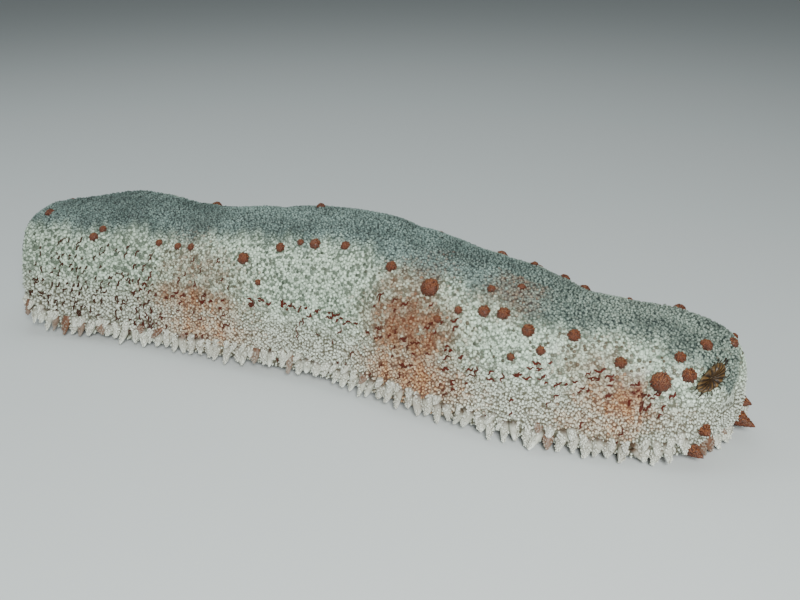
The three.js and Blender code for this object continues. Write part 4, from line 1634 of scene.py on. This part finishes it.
@dataclass
class Creases:
    """Short dark red creases that wander between the granules of the flanks, and near the head brown strips
    of painted shade in the gaps between the blocky granules.
    """

    palette: Palette
    bands: tuple = (
        CreaseBand(16, 150, 18, 82, 150, 64.0, 0.62), CreaseBand(120, 236, 47, 57, 22, 18.0, 0.75),
        CreaseBand(140, 235, 14, 46, 18, 50.0, 0.5), CreaseBand(150, 235, 60, 84, 8, 62.0, 0.5),
        CreaseBand(236, 352, 54, 61, 28, 14.0, 0.66), CreaseBand(250, 350, 14, 50, 18, 48.0, 0.4),
        CreaseBand(360, 432, 46, 84, 24, 42.0, 0.62), CreaseBand(384, 440, 34, 60, 20, 22.0, 0.8),
        CreaseBand(360, 440, 12, 34, 10, 60.0, 0.5), CreaseBand(440, 500, 30, 52, 12, 46.0, 0.55),
        CreaseBand(472, 548, 46, 62, 30, 24.0, 0.62), CreaseBand(536, 600, 36, 54, 20, 34.0, 0.66),
        CreaseBand(100, 560, 9, 24, 36, 62.0, 0.5),
    )
    vent_folds: int = 30
    sides: int = 5
    steps: int = 7
    seed: int = 77

    def strokes(self) -> list[tuple[np.ndarray, np.ndarray, float]]:
        """Draw the creases as short paths.

        Returns:
            For each crease its lengths, its angles and its half width.
        """
        random = np.random.default_rng(self.seed)
        strokes = []
        for band in self.bands:
            for _ in range(2 * band.count):
                length = random.uniform(band.start, band.stop)
                level = random.uniform(band.low, band.high)
                size = random.uniform(2.4, 6.8)
                slope = math.radians(band.lean + random.normal(0.0, 22.0))
                share = np.linspace(-0.5, 0.5, self.steps)
                wobble = 0.15 * size * np.sin(share * random.uniform(5.0, 10.0) + random.uniform(0, 6.0))
                lengthwise = size * share * math.cos(slope) - wobble * math.sin(slope)
                upright = size * share * math.sin(slope) + wobble * math.cos(slope)
                near = random.random() < 0.5
                half = band.half * random.uniform(0.9, 1.6)
                strokes.append(self.at_levels(length + lengthwise, level + upright, near, half))
        return strokes

    @staticmethod
    def at_levels(
        lengths: np.ndarray, levels: np.ndarray, near: bool, half: float
    ) -> tuple[np.ndarray, np.ndarray, float]:
        """Turn heights above the floor into angles on one flank.

        Args:
            lengths: Lengths of the points of a crease.
            levels: Their heights above the floor.
            near: Whether the crease lies on the left flank.
            half: Half of its width.

        Returns:
            Lengths, angles and half width of the crease.
        """
        inside = np.clip(lengths, 1.0, FORM.body_length - 1.0)
        heights = FORM.skin(inside[:, None], LEVEL_TURNS[None, :])[..., 2]
        turned = np.array([np.interp(level, row, LEVEL_TURNS) for level, row in zip(levels, heights)])
        return inside, turned if near else np.pi - turned, half

    def vent_strokes(self) -> list[tuple[np.ndarray, np.ndarray, float]]:
        """Dark folds of painted shade that run out from the vent over the end face."""
        random = np.random.default_rng(self.seed + 1)
        turns, reaches = [], []
        for index in range(self.vent_folds):
            turn = ROUND * (index + random.uniform(-0.4, 0.4)) / self.vent_folds
            turns.append(turn)
            reaches.append(random.uniform(1.5, 4.6))
        share = np.linspace(0.0, 1.0, self.steps)
        start = VENT.radius * 0.94
        radius = start + np.array(reaches)[:, None] * share[None, :]
        bow = 0.10 * np.sin(3.0 * share)[None, :] * random.normal(0, 1, (len(turns), 1))
        bent = np.array(turns)[:, None] + bow
        lengths, angles = VENT.on_skin(*VENT.oval(radius, bent))
        return [(lengths[i], angles[i], random.uniform(0.22, 0.48)) for i in range(len(turns))]

    def build(self, strokes: list, name: str, material: bpy.types.Material) -> bpy.types.Object:
        """Make every crease a thin, tapering strip sunk in the skin.

        Args:
            strokes: The paths and their half widths.
            name: Name of the piece.
            material: Its finish.

        Returns:
            The piece.
        """
        points, faces, warm = [], [], []
        for length, angle, half in strokes:
            path = surface(length, angle)
            normals = FORM.normal(length, angle)
            along = unit(np.gradient(path, axis=0))
            across = unit(np.cross(normals, along))
            share = np.linspace(0.0, 1.0, self.steps)
            width = half * np.sin(np.pi * np.clip(share, 0.04, 0.96)) ** 0.6
            base = len(points)
            turns = np.linspace(0, ROUND, self.sides, endpoint=False)
            for step in range(self.steps):
                for turn in turns:
                    lift = 0.35 + 0.45 * math.sin(turn)
                    spot = path[step] + across[step] * width[step] * math.cos(turn) + normals[step] * lift
                    points.append(spot)
                    # Brown near the head, where the strips are painted shade in the gaps; dark red further
                    # back.
                    warm.append(np.clip((length[step] - 90.0) / 80.0, 0.12, 1.0))
            for step in range(self.steps - 1):
                first = base + step * self.sides
                faces += ring_faces(first, first + self.sides, self.sides)
            last = base + (self.steps - 1) * self.sides
            faces.append(tuple(base + side for side in reversed(range(self.sides))))
            faces.append(tuple(last + side for side in range(self.sides)))
        piece = mesh_piece(name, np.array(points), faces, material)
        store(piece, "warm", np.array(warm))
        # For the vent creases a low tip share gives the dark groove colour: painted shade in the folds.
        store(piece, "tip", np.full(len(warm), 0.1))
        store(piece, "rim", np.zeros(len(warm)))
        self.face_outward(piece)
        smooth_shade(piece, 60.0)
        return piece

    @staticmethod
    def face_outward(piece: bpy.types.Object) -> None:
        """Turn the faces of a closed form outward."""
        deselect_all()
        piece.select_set(True)
        bpy.context.view_layer.objects.active = piece
        bpy.ops.object.mode_set(mode="EDIT")
        bpy.ops.mesh.select_all(action="SELECT")
        bpy.ops.mesh.normals_make_consistent(inside=False)
        bpy.ops.object.mode_set(mode="OBJECT")


@dataclass
class Vent:
    """Folded rosette that replaces the solid vent."""

    palette: Palette
    folds: int = 15
    rings: int = 22
    depth: float = 5.0
    seed: int = 9

    def build(self) -> bpy.types.Object:
        """Shape rings in radial folds that dive into the opening, laid in the skin's bowl.

        Returns:
            The rosette.
        """
        random = np.random.default_rng(self.seed)
        around = self.folds * 6
        turn = np.linspace(0, ROUND, around, endpoint=False)
        uneven = 1.0 + 0.2 * np.sin(3 * turn + 0.7) + random.normal(0, 0.04, around)
        fold = np.cos(self.folds * turn + 0.6 * np.sin(2 * turn)) * uneven
        share = np.linspace(1.0, 0.04, self.rings)[:, None]
        radius = VENT.radius * share * (1.0 + 0.025 * fold[None, :])
        lengths, angles = VENT.on_skin(*VENT.oval(radius, turn[None, :]))
        skin, normal = FORM.skin(lengths, angles), FORM.normal(lengths, angles)
        bowl = -self.depth * (1 - share) ** 1.3 - 1.6 * share**8
        lift = bowl + 0.85 * fold * share**0.6 * (1 - share**6) + 0.5 * np.sin(np.pi * share) ** 2
        top = skin + normal * lift[..., None]
        under = skin[0] - normal[0] * 4.0
        # Tip share: low in the grooves between the folds and towards the opening, as painted shade.
        tips = np.clip(0.5 + 0.5 * fold[None, :] - 0.3 * (1 - share), 0, 1) * share**0.35
        points = np.concatenate([top.reshape(-1, 3), under])
        faces = []
        for inner in range(self.rings - 1):
            faces += ring_faces(inner * around, (inner + 1) * around, around)
        rim = self.rings * around
        faces += ring_faces(rim, 0, around)
        last = (self.rings - 1) * around
        faces.append(tuple(rim + index for index in reversed(range(around))))
        faces.append(tuple(last + index for index in range(around)))
        piece = mesh_piece("vent_rosette", points, faces, self.palette.vent)
        store(piece, "tip", np.concatenate([tips.ravel(), np.full(around, 0.2)]))
        rim_share = np.broadcast_to(0.7 * smooth_step(0.8, 1.0, share), tips.shape) * (0.4 + 0.6 * tips)
        store(piece, "rim", np.concatenate([rim_share.ravel(), np.full(around, 0.5)]))
        Creases.face_outward(piece)
        smooth_shade(piece, 80.0)
        return piece


@dataclass
class Mouth:
    """Peristome and its ring of shield-tipped tentacles under the head."""

    palette: Palette
    tentacles: int = 20
    back: float = 56.0
    reaches: tuple = (20.0, 32.0)
    seed: int = 3

    def build(self) -> list[bpy.types.Object]:
        """Make the peristome, the stalks and the branched shields.

        Returns:
            The pieces.
        """
        random = np.random.default_rng(self.seed)
        place, _ = FORM.axis(np.array(self.back))
        centre = np.array([place[0], place[1], 0.0])
        stalk = model_spire(8, STALK)
        lobe = model_spire(7, LOBE)
        roots, outs, heights = [], [], []
        lobe_roots, lobe_outs, lobe_radii = [], [], []
        for index in range(self.tentacles):
            turn = ROUND * index / self.tentacles
            flat = np.array([math.cos(turn), math.sin(turn), 0.0])
            side = np.array([-flat[1], flat[0], 0.0])
            reach = self.reaches[index % 2] + random.uniform(-1.0, 1.0)
            start = centre + flat * 11.0 + UP * 10.0
            end = centre + flat * reach + UP * 4.2
            roots.append(start)
            outs.append(unit(end - start))
            heights.append(np.linalg.norm(end - start) + 1.0)
            for lobes, spread, wide in ((11, 3.9, 1.15), (6, 2.0, 1.1), (1, 0.0, 1.3)):
                for step in range(lobes):
                    angle = ROUND * (step + 0.3 * random.random()) / lobes
                    offset = flat * math.cos(angle) * spread * 0.85 + side * math.sin(angle) * spread
                    lobe_roots.append(end + offset + UP * 0.4)
                    lobe_outs.append(unit(offset * 0.5 - UP * 1.6))
                    lobe_radii.append(wide * random.uniform(0.85, 1.15))
        count = len(roots)
        stalks = Scatter(
            stalk, np.array(roots), np.array(outs), np.full(count, 2.3), np.array(heights),
            random.uniform(0, 6, count),
        )
        stalk_place = np.tile([[self.back, -np.pi / 2]], (count, 1))
        pieces = [joined_copies("tentacle_stalks", stalks, self.palette.mouth, stalk_place)]
        radii = np.array(lobe_radii)
        lobes_scatter = Scatter(
            lobe, np.array(lobe_roots), np.array(lobe_outs), radii, radii * 2.1,
            random.uniform(0, 6, len(radii)),
        )
        lobe_place = np.tile([[self.back, -np.pi / 2]], (len(radii), 1))
        pieces.append(joined_copies("tentacle_shields", lobes_scatter, self.palette.mouth, lobe_place))
        pieces.append(self.peristome(centre))
        for piece in pieces:
            smooth_shade(piece, 70.0)
        return pieces

    def peristome(self, centre: np.ndarray) -> bpy.types.Object:
        """Soft disc round the mouth, with a puckered middle."""
        deselect_all()
        bpy.ops.mesh.primitive_uv_sphere_add(segments=32, ring_count=14, radius=1.0)
        piece = bpy.context.object
        piece.name = piece.data.name = "peristome"
        count = len(piece.data.vertices)
        flat = np.zeros(count * 3)
        piece.data.vertices.foreach_get("co", flat)
        flat = flat.reshape(-1, 3)
        away = np.hypot(flat[:, 0], flat[:, 1])
        turn = np.arctan2(flat[:, 1], flat[:, 0])
        pucker = 2.6 * np.exp(-((away / 0.28) ** 2)) * (flat[:, 2] < 0)
        fold = 0.35 * np.cos(12 * turn) * away
        placed = np.stack([
            centre[0] + flat[:, 0] * 18.5, centre[1] + flat[:, 1] * 18.5,
            12.2 + flat[:, 2] * 3.2 + pucker + fold,
        ], -1)
        piece.data.vertices.foreach_set("co", (placed * MM).ravel())
        piece.data.update()
        piece.data.materials.append(self.palette.mouth)
        store(piece, "tip", np.clip(0.3 + 0.5 * away, 0, 1))
        return piece


@dataclass
class TubeFeet:
    """Tube feet in three bands on the sole."""

    palette: Palette
    step: float = 7.0
    seed: int = 19

    def build(self) -> bpy.types.Object:
        """Stand short feet between the sole and the floor.

        Returns:
            The piece.
        """
        random = np.random.default_rng(self.seed)
        pattern = model_spire(7, FOOT)
        roots, place = [], []
        for length in np.arange(112.0, FORM.body_length - 40.0, self.step):
            middle, near = FORM.axis(np.array(length))
            for band in (-0.58, 0.0, 0.58):
                for offset in (-0.11, 0.0, 0.11):
                    across = (band + offset + random.normal(0, 0.012)) * 60.0
                    shift = random.normal(0, 1.2)
                    spot = middle + near * across + np.array([-near[1], near[0]]) * shift
                    roots.append((spot[0], spot[1], 2.4))
                    place.append((length, -np.pi / 2))
        count = len(roots)
        down = np.tile([[0.0, 0.0, -1.0]], (count, 1))
        scatter = Scatter(
            pattern, np.array(roots), down, np.full(count, 1.15), np.full(count, 2.4),
            random.uniform(0, 6, count),
        )
        piece = joined_copies("tube_feet", scatter, self.palette.fringe, np.array(place))
        store(piece, "brown", np.full(count * len(pattern.points), 0.35))
        return piece


@dataclass
class Studio:
    """Pale floor, soft lights and the camera at the photograph's angle."""

    camera_place: tuple = (282.8, -598.2, 350.0)
    pitch: float = math.radians(24.5)
    yaw: float = math.radians(22.0)
    pixels_of_focus: float = 900.0
    image_width: float = 800.0
    sensor: float = 36.0

    def camera(self) -> None:
        """Set up the camera as it was worked out from the photograph."""
        data = bpy.data.cameras.new("photo_camera")
        data.sensor_width = self.sensor
        data.lens = self.sensor * self.pixels_of_focus / self.image_width
        data.clip_start = 0.01
        camera = bpy.data.objects.new("photo_camera", data)
        camera.location = tuple(value * MM for value in self.camera_place)
        camera.rotation_euler = (math.pi / 2 - self.pitch, 0.0, self.yaw)
        bpy.context.scene.collection.objects.link(camera)
        bpy.context.scene.camera = camera

    def floor(self) -> None:
        """Lay a pale, matt floor under the part."""
        deselect_all()
        bpy.ops.mesh.primitive_plane_add(size=12.0, location=(0.0, 0.0, -0.0002))
        floor = bpy.context.object
        floor.name = "studio_floor"
        material = bpy.data.materials.new("pale_floor")
        material.use_nodes = True
        shader = material.node_tree.nodes["Principled BSDF"]
        shader.inputs["Base Color"].default_value = (0.62, 0.64, 0.64, 1.0)
        shader.inputs["Roughness"].default_value = 0.9
        floor.data.materials.append(material)

    def lamp(self, name: str, place: tuple, aim: tuple, power: float, size: float, tint: tuple) -> None:
        """Hang one soft lamp.

        Args:
            name: Its name.
            place: Where it hangs, in metres.
            aim: What it points at.
            power: Its strength in watts.
            size: Its width in metres.
            tint: Its colour.
        """
        data = bpy.data.lights.new(name, "AREA")
        data.energy = power
        data.size = size
        data.color = tint
        lamp = bpy.data.objects.new(name, data)
        lamp.location = place
        towards = np.array(aim) - np.array(place)
        flat = math.hypot(towards[0], towards[1])
        lamp.rotation_euler = (math.atan2(flat, -towards[2]), 0.0, math.atan2(-towards[0], towards[1]))
        bpy.context.scene.collection.objects.link(lamp)

    def lights(self) -> None:
        """Light the left flank from the camera's side, with soft fill from above."""
        self.lamp("key_lamp", (0.62, -1.05, 0.78), (0.02, 0.0, 0.05), 29.0, 0.40, (0.96, 1.0, 0.97))
        self.lamp("top_lamp", (-0.3, 0.5, 1.6), (0.0, 0.0, 0.0), 8.0, 1.2, (0.88, 0.98, 1.0))
        self.lamp("side_lamp", (-1.3, -0.6, 0.7), (-0.1, 0.0, 0.05), 6.0, 0.7, (0.92, 1.0, 1.0))
        world = bpy.data.worlds.new("soft_room")
        world.use_nodes = True
        world.node_tree.nodes["Background"].inputs["Color"].default_value = (0.80, 0.90, 0.92, 1.0)
        world.node_tree.nodes["Background"].inputs["Strength"].default_value = 0.20
        bpy.context.scene.world = world

    def build(self) -> None:
        """Set up the whole stage."""
        self.camera()
        self.floor()
        self.lights()


def settle(pieces: list[bpy.types.Object], nodes: tuple) -> None:
    """Let pieces stand for their nodes and ride on the body.

    Args:
        pieces: The finished pieces.
        nodes: Names of the solids that they replace.
    """
    for piece in pieces:
        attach(piece, "root")
        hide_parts(*nodes)
        LOG.info("%s: %d faces", piece.name, len(piece.data.polygons))


def main() -> None:
    """Build every sub-assembly in order and report it."""
    logging.basicConfig(level=logging.INFO, format="%(name)s %(message)s")
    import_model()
    Studio().build()
    palette = Palette()
    settle([Skin(palette).build()], FLESH_NODES)
    creases = Creases(palette)
    body_strokes, vent_strokes = creases.strokes(), creases.vent_strokes()
    settle(GranuleCoat(palette, body_strokes + vent_strokes).build(), FLESH_NODES)
    settle(WartCoat(palette).build(), FLESH_NODES)
    settle(Fringe(palette).build(), FLESH_NODES)
    settle([
        creases.build(body_strokes, "creases_with_gap_shade", palette.crease),
        creases.build(vent_strokes, "vent_creases", palette.vent),
        TubeFeet(palette).build(),
    ], FLESH_NODES)
    settle(Mouth(palette).build(), ("mouth_tentacles",))
    settle([Vent(palette).build()], ("vent",))


if __name__ == "__main__":
    main()
